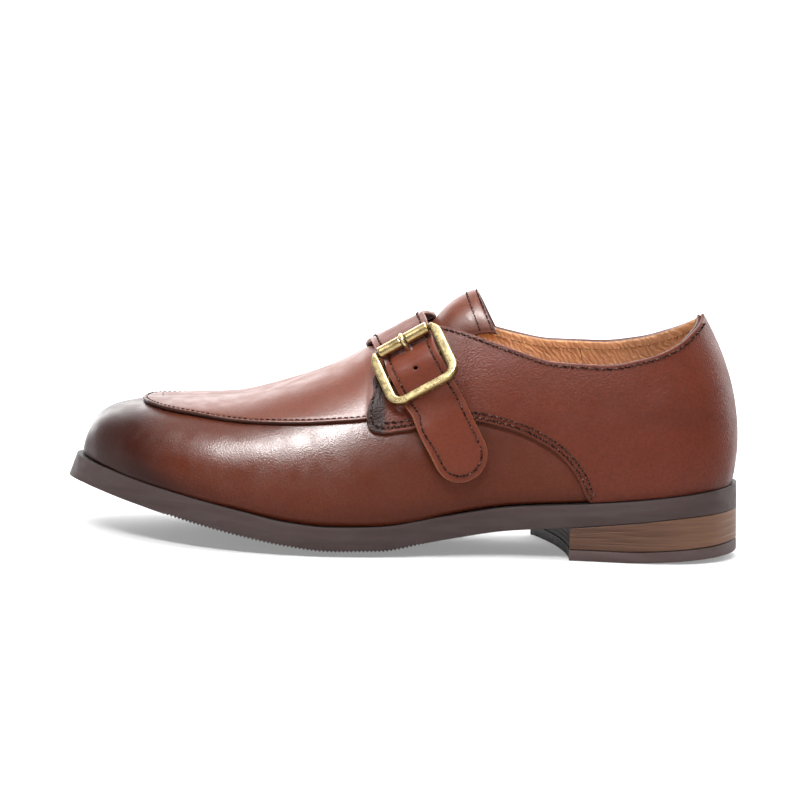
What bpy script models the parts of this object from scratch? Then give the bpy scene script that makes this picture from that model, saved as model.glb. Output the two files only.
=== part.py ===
"""Left shoe: a moccasin-fronted loafer closed by one monk strap, women's EU 38.

Frame: X runs along the shoe, toe at -X and heel at +X; -Y is the outer (lateral) side;
the floor is Z = 0.  Tables are in millimetres.  Distances along the shoe are measured
from the back of the heel and are called "s"; x = HALF - s.
"""

import math
from bisect import bisect_right

import bmesh
import bpy
from mathutils import Matrix, Vector

MM = 0.001
LENGTH = 262.0          # outsole, heel back to toe
HALF = LENGTH / 2
LAST_LENGTH = 256.8     # where the upper meets the sole at the toe
GAP = 0.3               # between pieces that touch in the real shoe
LATERAL = -1
MEDIAL = 1

WALL = 1.5              # upper: vamp leather with its lining
QUARTER = 1.2           # quarter leather laid over the wall
APRON = 1.4             # raised moccasin plug
FACING_LIFT = 0.9       # how far the facings ride up over the plug
TONGUE = 2.0
STRAP = 1.8
CHAPE = 0.8
INSOLE = 2.6

OVERLAY_GAP = 0.08      # added to the gap under a quarter, which follows a curved wall
APRON_GAP = 0.1         # the same under the plug
SHARP_ANGLE = 30.0      # edges turned more than this are shown sharp

# ---------------------------------------------------------------- driving tables

SOLE_COLUMNS = ("s", "lateral", "medial", "top", "edge", "tread", "lean")
SOLE = [
    #  s   lateral medial  top   edge  tread  lean
    (0.0, 0.0, 0.0, 29.3, 19.6, 19.6, 0.0),
    (4.0, -13.5, 13.5, 28.9, 19.3, 19.3, 0.0),
    (12.0, -22.5, 22.0, 28.0, 18.8, 18.8, 0.0),
    (25.0, -28.6, 28.0, 26.2, 17.6, 17.6, 0.0),
    (42.0, -30.7, 29.8, 24.0, 15.4, 15.4, 0.0),
    (65.0, -30.2, 28.2, 21.7, 12.7, 12.7, 0.0),
    (90.0, -30.6, 24.6, 19.7, 10.5, 10.2, 0.0),
    (115.0, -35.5, 24.4, 15.8, 6.6, 5.4, 0.0),
    (140.0, -42.5, 30.5, 11.8, 2.3, 0.0, 0.0),
    (158.0, -46.0, 37.0, 11.4, 1.9, 0.0, 0.0),
    (175.0, -47.0, 41.6, 12.8, 3.6, 1.9, 0.3),
    (192.0, -45.6, 43.6, 15.9, 6.4, 5.0, 0.9),
    (208.0, -41.6, 43.2, 18.7, 9.4, 8.4, 1.5),
    (223.0, -34.4, 40.2, 21.2, 12.3, 11.5, 2.0),
    (237.0, -25.0, 34.8, 23.6, 14.9, 14.3, 2.4),
    (249.0, -14.4, 29.2, 25.8, 17.2, 16.8, 2.7),
    (257.0, -5.2, 23.6, 27.3, 18.7, 18.4, 2.8),
    (262.0, 9.5, 9.5, 28.1, 19.5, 19.4, 2.8),
]

LAST_COLUMNS = ("station", "feather", "out", "rise", "top_y", "top_z", "inward", "drop")
LAST_LATERAL = [
    (0.0, 0.0, 0.0, 21.5, 0.0, 94.6, 0.0, 21.5),
    (5.0, -16.5, 2.0, 20.0, -10.5, 89.0, 2.8, 20.0),
    (15.0, -23.8, 2.6, 18.0, -17.8, 83.0, 3.6, 18.0),
    (30.0, -28.0, 2.8, 17.0, -22.6, 78.2, 4.2, 16.0),
    (50.0, -28.9, 2.8, 16.0, -24.8, 75.1, 4.6, 15.0),
    (70.0, -28.9, 3.2, 16.0, -24.8, 75.6, 5.2, 16.0),
    (90.0, -29.6, 4.0, 18.0, -23.4, 80.2, 7.2, 17.0),
    (104.0, -32.4, 4.6, 22.0, -21.0, 84.2, 8.6, 16.0),
    (110.0, -33.8, 4.7, 24.0, -19.6, 85.6, 10.0, 14.0),
    (116.0, -35.2, 4.8, 26.0, -17.0, 86.0, 12.5, 10.5),
    (122.5, -37.0, 4.8, 29.0, -10.5, 85.4, 17.0, 6.0),
    (127.0, -38.2, 4.8, 31.5, 1.0, 85.0, 25.0, 0.6),
    (140.0, -41.4, 4.7, 34.5, 2.2, 77.3, 27.0, -0.2),
    (155.0, -44.0, 4.5, 35.5, 3.4, 67.9, 31.0, -0.8),
    (175.0, -45.2, 4.0, 33.0, 5.0, 59.3, 35.0, -1.2),
    (200.0, -42.6, 3.4, 27.0, 7.0, 52.0, 33.5, -1.4),
    (220.0, -34.6, 3.4, 23.0, 8.4, 50.4, 30.0, -1.6),
    (235.0, -24.8, 3.0, 19.0, 9.0, 49.4, 24.0, -1.4),
    (244.0, -15.9, 2.4, 15.0, 9.3, 47.6, 18.5, -0.8),
    (250.0, -8.6, 1.8, 11.0, 9.4, 44.4, 14.0, -0.2),
    (254.0, -1.2, 1.2, 7.0, 9.5, 38.6, 8.5, 0.3),
    (256.8, 9.5, 0.0, 0.0, 9.5, 28.2, 0.0, 0.0),
]
LAST_MEDIAL = [
    (0.0, 0.0, 0.0, 21.5, 0.0, 94.6, 0.0, 21.5),
    (5.0, 16.2, 2.0, 20.0, 10.2, 90.4, 2.8, 20.0),
    (15.0, 23.2, 2.6, 18.0, 17.2, 86.2, 3.6, 18.0),
    (30.0, 27.0, 2.6, 17.0, 21.6, 82.0, 4.0, 16.0),
    (50.0, 27.5, 2.4, 16.0, 23.4, 79.6, 4.0, 15.0),
    (70.0, 26.2, 2.6, 16.0, 23.4, 79.6, 4.0, 16.0),
    (90.0, 23.6, 3.4, 18.0, 21.8, 82.6, 5.5, 17.0),
    (104.0, 22.8, 4.4, 22.0, 20.0, 86.0, 6.6, 16.0),
    (110.0, 23.0, 5.0, 24.0, 18.8, 87.0, 8.0, 14.0),
    (116.0, 23.6, 5.6, 26.0, 16.4, 86.4, 10.0, 10.5),
    (122.5, 25.0, 6.0, 29.0, 11.0, 85.4, 13.0, 6.0),
    (127.0, 26.0, 6.2, 31.5, 1.0, 85.0, 23.2, 0.6),
    (140.0, 29.6, 6.4, 34.5, 2.2, 77.3, 21.6, -0.2),
    (155.0, 34.8, 6.0, 35.5, 3.4, 67.9, 24.5, -0.8),
    (175.0, 39.8, 5.0, 33.0, 5.0, 59.3, 27.5, -1.2),
    (200.0, 41.6, 3.8, 27.0, 7.0, 52.0, 28.0, -1.4),
    (220.0, 39.0, 3.4, 23.0, 8.4, 50.4, 25.5, -1.6),
    (235.0, 33.2, 3.0, 19.0, 9.0, 49.4, 20.5, -1.4),
    (244.0, 27.9, 2.4, 15.0, 9.3, 47.6, 15.5, -0.8),
    (250.0, 23.2, 1.8, 11.0, 9.4, 44.4, 12.0, -0.2),
    (254.0, 18.4, 1.2, 7.0, 9.5, 38.6, 7.5, 0.3),
    (256.8, 9.5, 0.0, 0.0, 9.5, 28.2, 0.0, 0.0),
]
BACK_CURVE = (3.1, -0.7, 4.1, 17.9)     # heel back, feather to collar, as a Bezier in s

# Where the plug's seam runs, and where the quarters end, as heights on the last
# (0 at the feather line, 1 at the ridge or collar).
APRON_COLUMNS = ("station", "lateral", "medial")
APRON_SEAM = [
    (138.0, 0.425, 0.44),
    (146.0, 0.43, 0.45),
    (157.0, 0.447, 0.48),
    (170.0, 0.47, 0.51),
    (186.0, 0.506, 0.55),
    (198.0, 0.553, 0.60),
    (211.0, 0.61, 0.66),
    (219.0, 0.65, 0.70),
    (225.0, 0.70, 0.75),
    (229.5, 0.77, 0.81),
    (232.5, 0.86, 0.88),
    (234.0, 0.985, 0.985),
]
QUARTER_COLUMNS = ("station", "low")
QUARTER_EDGE = [
    (58.4, 0.0),
    (60.2, 0.037),
    (63.6, 0.172),
    (67.9, 0.284),
    (72.7, 0.371),
    (79.5, 0.434),
    (86.1, 0.470),
    (93.0, 0.487),
    (100.0, 0.489),
    (108.0, 0.472),
    (118.0, 0.415),
    (126.0, 0.364),
    (131.0, 0.353),
    (138.0, 0.354),
    (142.5, 0.366),
    (144.8, 0.388),
    (145.8, 0.425),
]
TONGUE_COLUMNS = ("s", "ridge_y", "ridge_z", "half", "drop", "sweep")
TONGUE_ROWS = [
    (147.0, 1.5, 69.2, 15.0, 5.5, 0.0),
    (138.0, 0.2, 74.8, 14.5, 6.5, 0.5),
    (131.0, -0.2, 79.3, 14.5, 8.2, 1.0),
    (126.5, 0.1, 82.0, 14.2, 10.6, 1.6),
    (123.5, 0.6, 84.7, 14.0, 12.0, 2.2),
    (119.5, 0.1, 90.1, 14.4, 12.7, 3.2),
    (115.0, 0.2, 94.7, 15.4, 13.4, 4.5),
    (110.5, 0.1, 97.6, 16.0, 14.0, 6.0),
    (106.8, 0.0, 99.3, 16.2, 15.0, 7.0),
    (104.8, 0.0, 99.0, 16.3, 15.0, 7.4),
]


# ---------------------------------------------------------------- curves and the last

def bezier(points, t):
    """Point at t on a cubic Bezier with four control values."""
    a, b, c, d = points
    m = 1.0 - t
    return a * m ** 3 + 3 * b * m * m * t + 3 * c * m * t * t + d * t ** 3


def smooth_step(value):
    """Ease from 0 to 1 as value goes from 0 to 1."""
    t = min(max(value, 0.0), 1.0)
    return t * t * (3.0 - 2.0 * t)


def monotone(xs, ys, x):
    """Smooth curve through (xs, ys) that never overshoots its points."""
    x = min(max(x, xs[0]), xs[-1])
    i = min(max(bisect_right(xs, x) - 1, 0), len(xs) - 2)
    widths = [b - a for a, b in zip(xs, xs[1:])]
    slopes = [(b - a) / w for a, b, w in zip(ys, ys[1:], widths)]

    def tangent(k):
        if k == 0 or k == len(xs) - 1:
            return slopes[min(k, len(slopes) - 1)]
        before, after = slopes[k - 1], slopes[k]
        if before * after <= 0.0:
            return 0.0
        wa = 2 * widths[k] + widths[k - 1]
        wb = widths[k] + 2 * widths[k - 1]
        return (wa + wb) / (wa / before + wb / after)

    t = (x - xs[i]) / widths[i]
    rise = 3 * t * t - 2 * t ** 3
    start = t ** 3 - 2 * t * t + t
    end = t ** 3 - t * t
    value = ys[i] * (1 - rise) + ys[i + 1] * rise
    return value + widths[i] * (start * tangent(i) + end * tangent(i + 1))


def turn(s, length):
    """Angle-like place along the shoe, 0 at the heel and 1 at the toe, so that the
    round ends get close sections."""
    return math.acos(min(max(1.0 - 2.0 * s / length, -1.0), 1.0)) / math.pi


def column(table, columns, name, place, length):
    """Value of one named column at a place along the shoe."""
    k = columns.index(name)
    turns = [turn(row[0], length) for row in table]
    return monotone(turns, [row[k] for row in table], turn(place, length))


def sole(s, name):
    return column(SOLE, SOLE_COLUMNS, name, s, LENGTH)


def deck(s):
    """Height of the sole's top at a distance s; the sole's toe edge leans back."""
    place = s
    for _ in range(4):
        place = min(s + sole(place, "lean"), LENGTH)
    return sole(place, "top")


def last_point(side, station, height, lift=0.0):
    """Point on the outside of the last: height 0 is the feather line, 1 the collar or
    the ridge; lift moves it out along the surface's normal."""
    table = LAST_LATERAL if side == LATERAL else LAST_MEDIAL
    row = {n: column(table, LAST_COLUMNS, n, station, LAST_LENGTH) for n in LAST_COLUMNS[1:]}
    fade = (1.0 - station / LAST_LENGTH) ** 4
    base = deck(station + BACK_CURVE[0] * fade) + GAP
    y = bezier((row["feather"], row["feather"] + side * row["out"],
                row["top_y"] + side * row["inward"], row["top_y"]), height)
    z = bezier((base, base + row["rise"], row["top_z"] - row["drop"], row["top_z"]), height)
    s = station + bezier(BACK_CURVE, height) * fade
    point = Vector((HALF - s, y, z))
    if lift:
        point += lift * last_normal(side, station, height)
    return point


def last_normal(side, station, height):
    """Outward unit normal of the last."""
    step = 0.4
    low, high = max(station - step, 0.0), min(station + step, LAST_LENGTH)
    under, over = max(height - 0.004, 0.0), min(height + 0.004, 1.0)
    along = last_point(side, high, height) - last_point(side, low, height)
    up = last_point(side, station, over) - last_point(side, station, under)
    normal = along.cross(up) * side
    if normal.length < 1e-6:
        return Vector((1.0, 0.0, 0.0) if station < HALF else (-1.0, 0.0, 0.0))
    return normal.normalized()


def tuck(station):
    """How far the wall lies inside the last where the quarters cover it."""
    return (QUARTER + GAP) * (1.0 - smooth_step((station - 104.0) / 22.0))


def facing(station, height):
    """Extra lift of the quarters' facings, which ride up over the plug."""
    return FACING_LIFT * smooth_step((station - 136.0) / 8.0) * smooth_step((height - 0.40) / 0.08)


def over_quarter(station, height):
    """Lift of the quarters' outer face above the last."""
    return GAP + OVERLAY_GAP + QUARTER + facing(station, height) - tuck(station)


def over_leather(side, s, z, above):
    """Point at a given height above the quarters' outer face, found by its distance s
    and height z as seen square from the side."""
    station, height = s, 0.5
    for _ in range(6):
        low, high = 0.0, 1.0
        for _ in range(16):
            height = (low + high) / 2
            if last_point(side, station, height).z < z:
                low = height
            else:
                high = height
        station += s - (HALF - last_point(side, station, height).x)
    return last_point(side, station, height, over_quarter(station, height) + above)


# ---------------------------------------------------------------- building

def stations(first, last, count, length=LENGTH):
    """Places along the shoe, closer together at its round ends."""
    start, end = turn(first, length), turn(last, length)
    turns = [start + (end - start) * k / (count - 1) for k in range(count)]
    return [length * (1.0 - math.cos(math.pi * t)) / 2 for t in turns]


def add_object(name, bm, material, collection):
    """Make an object from bmesh data in millimetres."""
    bmesh.ops.remove_doubles(bm, verts=bm.verts, dist=0.02)
    bmesh.ops.scale(bm, vec=(MM, MM, MM), verts=bm.verts)
    mesh = bpy.data.meshes.new(name)
    bm.to_mesh(mesh)
    bm.free()
    obj = bpy.data.objects.new(name, mesh)
    if material:
        mesh.materials.append(material)
    collection.objects.link(obj)
    mesh.shade_smooth()
    mesh.set_sharp_from_angle(angle=math.radians(SHARP_ANGLE))
    return obj


def skin(grids):
    """Open surface from grids of points; each grid's rows share their length."""
    bm = bmesh.new()
    for grid in grids:
        rows = [[bm.verts.new(p) for p in row] for row in grid]
        for above, below in zip(rows, rows[1:]):
            for k in range(len(above) - 1):
                bm.faces.new((above[k], above[k + 1], below[k + 1], below[k]))
    return bm


def loft(rings):
    """Closed body through rings of points that shrink to a line at both ends."""
    bm = bmesh.new()
    loops = [[bm.verts.new(p) for p in ring] for ring in rings]
    count = len(rings[0])
    for a, b in zip(loops, loops[1:]):
        for k in range(count):
            n = (k + 1) % count
            bm.faces.new((a[k], a[n], b[n], b[k]))
    bmesh.ops.remove_doubles(bm, verts=bm.verts, dist=0.02)
    bmesh.ops.dissolve_degenerate(bm, dist=0.001, edges=bm.edges)
    bmesh.ops.recalc_face_normals(bm, faces=bm.faces)
    return bm


def shell(name, grids, thickness, material, collection):
    """Leather piece: its outer face is the skin, its thickness goes inwards."""
    bm = skin(grids)
    bmesh.ops.remove_doubles(bm, verts=bm.verts, dist=0.02)
    bmesh.ops.dissolve_degenerate(bm, dist=0.001, edges=bm.edges)
    obj = add_object(name, bm, material, collection)
    solid = obj.modifiers.new("thickness", 'SOLIDIFY')
    solid.thickness = thickness * MM
    solid.offset = -1.0
    solid.use_even_offset = True
    solid.use_rim = True
    return obj


def baked(obj):
    """Turn an object's modifiers, or its curve, into a plain mesh."""
    graph = bpy.context.evaluated_depsgraph_get()
    mesh = bpy.data.meshes.new_from_object(obj.evaluated_get(graph))
    bm = bmesh.new()
    bm.from_mesh(mesh)
    bmesh.ops.remove_doubles(bm, verts=bm.verts, dist=0.000005)
    bm.to_mesh(mesh)
    bm.free()
    name, matrix = obj.name, obj.matrix_world.copy()
    collection = obj.users_collection[0]
    bpy.data.objects.remove(obj)
    plain = bpy.data.objects.new(name, mesh)
    plain.matrix_world = matrix
    collection.objects.link(plain)
    return plain


def join_or_cut(obj, tool, operation):
    """Apply a Boolean with the EXACT solver and bake the result."""
    step = obj.modifiers.new(operation.lower(), 'BOOLEAN')
    step.operation = operation
    step.solver = 'EXACT'
    step.object = tool
    bpy.context.view_layer.update()
    return baked(obj)


def finish(name, color, roughness, metallic=0.0):
    material = bpy.data.materials.new(name)
    material.use_nodes = True
    shader = material.node_tree.nodes["Principled BSDF"]
    shader.inputs["Base Color"].default_value = (*color, 1.0)
    shader.inputs["Roughness"].default_value = roughness
    shader.inputs["Metallic"].default_value = metallic
    return material


# ---------------------------------------------------------------- sole and heel

CENTRING = 1.7          # the shoe is moved this far sideways, onto the middle of its box

HEEL_SLOPE = 0.05       # the heel's back leans forward by this much of its height
HEEL_FRONT = 84.0       # the heel blocks are cut back from here to the breast
BREAST_LATERAL = 66.6   # breast line on the outer side
BREAST_SWEEP = 13.4     # how much further forward it is on the inner side
LIFT_THICKNESS = 4.3
LIFT_ROUND = 0.4        # small chamfer round each heel block's lower edge
HEEL_SHARE = 0.997      # the heel's width as a share of the sole's
SEAM_LEAN = 1.25        # the seam over the top lift rises a little faster than the rocker
HEEL_ROCKER = 2.6       # rise of the heel's back edge off the floor
ROCKER_START = 44.0
SOLE_STEP = 0.42        # the edge's step, as a share of the edge from its top
STEP_IN = 0.35
EDGE_ROUND = 0.7


def back_lean(s, z):
    """The heel and sole lean forward towards the top at the very back."""
    return HEEL_SLOPE * (z - HEEL_ROCKER) * (1.0 - smooth_step(s / 20.0))


def rocker(s):
    """Rise of the heel's bottom above the floor."""
    return HEEL_ROCKER * max(ROCKER_START - s, 0.0) ** 1.3 / ROCKER_START ** 1.3


def sole_ring(s):
    """Section of the outsole, up the outer side, across and down the inner side."""
    lateral, medial = sole(s, "lateral"), sole(s, "medial")
    top, edge, tread, lean = (sole(s, n) for n in ("top", "edge", "tread", "lean"))
    middle, half = (lateral + medial) / 2, (medial - lateral) / 2
    small = min(1.0, half / 12.0)
    step = top - SOLE_STEP * (top - edge)
    profile = [
        # inset from the outline, height
        (half * 0.38, tread),
        (0.9 * small, edge),
        (0.0, edge + EDGE_ROUND),
        (0.0, step - 0.2),
        (STEP_IN * small, step + 0.1),
        (STEP_IN * small, top - 0.5),
        ((STEP_IN + 0.5) * small, top),
    ]

    def place(y, z):
        share = (z - edge) / (top - edge)
        return Vector((HALF - (s + back_lean(s, z) - lean * share), y, z))

    outer = [place(middle - (half - inset), z) for inset, z in profile]
    inner = [place(middle + (half - inset), z) for inset, z in reversed(profile)]
    return outer + inner


def make_outsole(material, collection):
    places = stations(0.0, LENGTH, 44)
    bm = loft([sole_ring(s) for s in places])
    return add_object("outsole", bm, material, collection)


def heel_ring(s, low, high):
    middle = (sole(s, "lateral") + sole(s, "medial")) / 2
    half = (sole(s, "medial") - sole(s, "lateral")) / 2
    lateral, medial = middle - half * HEEL_SHARE, middle + half * HEEL_SHARE
    small = LIFT_ROUND * min(1.0, half / 12.0)
    corners = [(lateral + small, low), (lateral, low + LIFT_ROUND), (lateral, high),
               (medial, high), (medial, low + LIFT_ROUND), (medial - small, low)]
    return [Vector((HALF - (s + back_lean(s, z)), y, z)) for y, z in corners]


def seam_height(s):
    """Plane between the heel stack and its top lift."""
    return LIFT_THICKNESS + rocker(s) * SEAM_LEAN


def make_heel(name, low, high, breast, material, collection):
    bm = loft([heel_ring(s, low(s), high(s)) for s in stations(0.0, HEEL_FRONT, 16)])
    cap_front(bm)
    obj = add_object(name, bm, material, collection)
    return join_or_cut(obj, breast, 'DIFFERENCE')


def cap_front(bm):
    """Close the open front end of a loft."""
    border = [e for e in bm.edges if e.is_boundary]
    bmesh.ops.contextual_create(bm, geom=border)
    bmesh.ops.recalc_face_normals(bm, faces=bm.faces)


def make_breast_cutter(cutters):
    """Block in front of the heel's slanted, hollowed breast."""
    width = 36.0
    outer_y, heel_width = -30.0, 57.0
    beyond = HALF - HEEL_FRONT - 8.0
    ys = [-width + 2 * width * k / 12 for k in range(13)]
    share = [max(y - outer_y, 0.0) / heel_width for y in ys]
    line = [(HALF - (BREAST_LATERAL + BREAST_SWEEP * t * t), y) for t, y in zip(share, ys)]
    outline = line + [(beyond, width), (beyond, -width)]
    bm = bmesh.new()
    low = [bm.verts.new((x, y, -5.0)) for x, y in outline]
    face = bm.faces.new(low)
    extruded = bmesh.ops.extrude_face_region(bm, geom=[face])
    moved = [v for v in extruded["geom"] if isinstance(v, bmesh.types.BMVert)]
    bmesh.ops.translate(bm, vec=(0.0, 0.0, 40.0), verts=moved)
    bmesh.ops.recalc_face_normals(bm, faces=bm.faces)
    return as_cutter(add_object("breast_cutter", bm, None, cutters))


def as_cutter(obj):
    obj.hide_render = True
    obj.display_type = 'WIRE'
    return obj


# ---------------------------------------------------------------- upper, insole, overlays

WALL_STEPS = 11
BACK_PLACES = stations(0.0, QUARTER_EDGE[0][0], 11, LAST_LENGTH)
THROAT = 127.0          # the upper is closed over the instep from here to the toe
BACK_GAP = 0.55         # half the gap between the quarters at the heel's back
SOCK_GAP = 0.55         # between the insole's rim and the wall
FACING_DIP = 0.08       # how far the collar drops at the throat, in height on the last
FACING_SHORT = 0.22     # how far the facings stop below it
APRON_PLACES = (146.4, 150.0, 156.0, 163.0, 172.0, 181.0, 190.0, 199.0, 207.0, 214.0,
                220.0, 225.0, 229.0, 231.8, 233.4, 234.0)


def side_rows(side, places, steps, lift):
    """Rows along the shoe; each row climbs from the feather line to the top."""
    heights = [k / steps for k in range(steps + 1)]
    return [[last_point(side, st, h, lift(st, h)) for h in heights] for st in places]


def make_upper(material, collection):
    places = BACK_PLACES + [row[0] for row in QUARTER_EDGE[1:] if row[0] < THROAT]
    places += stations(THROAT, LAST_LENGTH, 23, LAST_LENGTH)
    lateral = side_rows(LATERAL, places, WALL_STEPS, lambda st, h: -tuck(st))
    medial = side_rows(MEDIAL, places, WALL_STEPS, lambda st, h: -tuck(st))
    for outer, inner, place in zip(lateral, medial, places):
        if place >= THROAT:
            shared = (outer[-1] + inner[-1]) / 2
            outer[-1] = inner[-1] = shared
    grids = [lateral, [list(reversed(row)) for row in medial]]
    return shell("upper", grids, WALL, material, collection)


def make_insole(material, collection):
    rows = []
    for st in stations(1.5, LAST_LENGTH - 1.5, 26, LAST_LENGTH):
        inset = WALL + SOCK_GAP + tuck(st)
        outer, inner = (last_point(side, st, 0.0, -inset) for side in (LATERAL, MEDIAL))
        row = [outer.lerp(inner, k / 4) for k in range(5)]
        rows.append([Vector((p.x, p.y, deck(HALF - p.x) + GAP + INSOLE)) for p in row])
    return shell("insole", [rows], INSOLE, material, collection)


def make_apron(material, collection):
    steps = 6
    rows = []
    for st in APRON_PLACES:
        edge = {LATERAL: column(APRON_SEAM, APRON_COLUMNS, "lateral", st, LAST_LENGTH),
                MEDIAL: column(APRON_SEAM, APRON_COLUMNS, "medial", st, LAST_LENGTH)}
        row = []
        for side in (LATERAL, MEDIAL):
            low = edge[side]
            heights = [low + (1.0 - low) * k / steps for k in range(steps + 1)]
            points = [last_point(side, st, h, GAP + APRON + APRON_GAP) for h in heights]
            row += points if side == LATERAL else list(reversed(points))[1:]
        rows.append(row)
    return shell("apron", [rows], APRON, material, collection)


def quarter_low(station):
    if station <= QUARTER_EDGE[0][0]:
        return 0.0
    return column(QUARTER_EDGE, QUARTER_COLUMNS, "low", station, LAST_LENGTH)


def quarter_high(station):
    """The facings stop short of the ridge in front of the throat."""
    first = FACING_DIP * smooth_step((station - 118.0) / 8.0)
    return 1.0 - first - FACING_SHORT * smooth_step((station - 121.0) / 8.0)


def make_quarter(name, side, material, collection):
    steps = 8
    places = BACK_PLACES + [row[0] for row in QUARTER_EDGE[1:]]
    rows = []
    for st in places:
        low, high = quarter_low(st), quarter_high(st)
        heights = [low + (high - low) * k / steps for k in range(steps + 1)]
        row = [last_point(side, st, h, over_quarter(st, h)) for h in heights]
        for point in row:
            point.y = side * max(side * point.y, BACK_GAP)
        rows.append(row if side == LATERAL else list(reversed(row)))
    return shell(name, [rows], QUARTER, material, collection)


def make_tongue(material, collection):
    steps = 12
    rows = []
    for s, ridge_y, ridge_z, half, drop, sweep in TONGUE_ROWS:
        row = []
        for k in range(steps + 1):
            angle = math.pi * (k / steps - 0.5)
            fall = 1.0 - math.cos(angle)
            row.append(Vector((HALF - (s - sweep * fall), ridge_y + half * math.sin(angle),
                               ridge_z - drop * fall)))
        rows.append(row)
    return shell("tongue", [list(reversed(rows))], TONGUE, material, collection)


# ---------------------------------------------------------------- strap and buckle

STRAP_HALF = 10.4
CHAPE_HALF = 9.6
CHAPE_TAIL = 12.0       # how far the chape runs on under the tail
CHAPE_ABOVE = 1.15      # its outer face, over the quarter
HOLE_SIZE = (2.5, 3.2, 8.0)
HOLE_DOWN = 3.9         # from the top bar
BUCKLE_AT = Vector((-2.2, -24.1, 81.0))     # middle of the top bar
ACROSS = Vector((0.847, -0.04, 0.52)).normalized()
DOWN_ROUGH = Vector((0.385, -0.63, -0.67))
OUT = DOWN_ROUGH.cross(ACROSS).normalized()
DOWN = ACROSS.cross(OUT).normalized()

FRAME_WIDTH = 29.8
FRAME_LENGTH = 27.2
SIDE_BAR = 3.5
LOWER_BAR = 2.9
FRAME_THICK = 3.0
FRAME_TOP = -2.0        # the frame's upper ends, beyond the top bar's middle
FRAME_WORN = 0.6        # round on the frame's edges
FRAME_CORNER = 6.5
PIN_RADIUS = 1.2
CENTRE_BAR = 11.5       # from the top bar
CENTRE_DROP = -1.5
ROLLER_RADIUS = 2.5
ROLLER_BORE = 1.5
ROLLER_LENGTH = 9.5
PRONG_GAP = 2.1
PRONG_RADIUS = 0.75

# outer face of the strap inside the buckle: distance below the top bar, and its height at
# the front and rear edge
BUCKLE_ROWS = [(0.0, -2.85, -2.85), (3.0, -1.8, -1.8), (6.0, 0.3, 0.3), (9.0, 1.7, 1.7),
               (11.8, 2.15, 2.15), (15.0, 1.3, 1.1), (18.5, -0.7, -1.2), (21.2, -1.95, -2.7),
               (23.6, -2.0, -3.4)]
CHAPE_ROWS = [(13.4, -0.9, -0.9), (16.0, -1.7, -1.9), (18.5, -3.05, -3.5), (21.2, -4.15, -4.9)]
# strap over the instep, outer face: front and rear edge
CROSS_ROWS = [
    # front_s front_y front_z rear_s rear_y rear_z
    (147.6, 18.2, 72.9, 121.4, 18.6, 87.3),
    (148.2, 12.6, 75.3, 122.0, 12.6, 89.0),
    (148.0, 6.8, 76.6, 122.4, 6.8, 89.5),
    (147.2, 1.4, 78.2, 124.0, 1.2, 90.5),
    (146.2, -3.6, 79.0, 126.2, -4.0, 90.9),
    (145.1, -10.4, 77.9, 125.4, -10.4, 89.6),
    (143.4, -16.4, 76.1, 124.5, -16.4, 87.6),
]
TAIL_START = (120.4, 57.4)                  # s, z of the tail's middle below the buckle
TAIL_WAY = (-0.498, -0.866)                 # its direction in s and z
TAIL_LENGTH = 20.2                          # to the middle of its round end
TAIL_ABOVE = (3.7, 3.6, 3.5, 3.0)           # its outer face over the quarter, going down
# strap down the inner side, where it is sewn to the quarter, as seen square from the side
INNER_ROWS = [
    # front_s front_z rear_s rear_z above
    (143.0, 54.0, 118.5, 68.5, 2.3),
    (144.6, 58.2, 119.2, 72.4, 2.5),
    (146.0, 62.2, 119.9, 76.4, 2.8),
    (147.0, 66.2, 120.5, 80.4, 3.3),
]


def buckle_point(across, down, out):
    return BUCKLE_AT + across * ACROSS + down * DOWN + out * OUT


def side_row(side, start, way, half, above, steps, shift=0.0):
    """Row of points across a strap that lies on the shoe's side; way is its distance
    along the strap."""
    s, z = start[0] + TAIL_WAY[0] * way, start[1] + TAIL_WAY[1] * way
    row = []
    for k in range(steps + 1):
        off = shift + half * (2.0 * k / steps - 1.0)
        row.append(over_leather(side, s + TAIL_WAY[1] * off, z - TAIL_WAY[0] * off, above))
    return row


def straight_row(front, rear, steps):
    return [front.lerp(rear, k / steps) for k in range(steps + 1)]


def strap_rows(steps):
    rows = []
    for front_s, front_z, rear_s, rear_z, above in INNER_ROWS:
        rows.append([over_leather(MEDIAL, front_s + (rear_s - front_s) * k / steps,
                                  front_z + (rear_z - front_z) * k / steps, above)
                     for k in range(steps + 1)])
    for front_s, front_y, front_z, rear_s, rear_y, rear_z in CROSS_ROWS:
        rows.append(straight_row(Vector((HALF - front_s, front_y, front_z)),
                                 Vector((HALF - rear_s, rear_y, rear_z)), steps))
    for down, front, rear in BUCKLE_ROWS:
        rows.append(straight_row(buckle_point(-STRAP_HALF, down, front),
                                 buckle_point(STRAP_HALF, down, rear), steps))
    for k, above in enumerate(TAIL_ABOVE):
        way = TAIL_LENGTH * k / 3
        rows.append(side_row(LATERAL, TAIL_START, way, STRAP_HALF, above, steps))
    for k in range(1, 7):
        angle = math.pi / 2 * k / 6
        half = max(STRAP_HALF * math.cos(angle), 0.6)
        way = TAIL_LENGTH + STRAP_HALF * math.sin(angle)
        rows.append(side_row(LATERAL, TAIL_START, way, half, 2.85 - 0.06 * k, steps))
    return rows


def make_strap(material, collection, cutters):
    obj = shell("monk_strap", [strap_rows(4)[::-1]], STRAP, material, collection)
    bm = bmesh.new()
    bmesh.ops.create_cube(bm, size=1.0)
    bmesh.ops.scale(bm, vec=HOLE_SIZE, verts=bm.verts)
    slot = as_cutter(add_object("prong_hole_cutter", bm, None, cutters))
    slot.matrix_world = buckle_matrix(0.0, HOLE_DOWN, -1.5)
    bpy.context.view_layer.update()
    return join_or_cut(obj, slot, 'DIFFERENCE')


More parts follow.
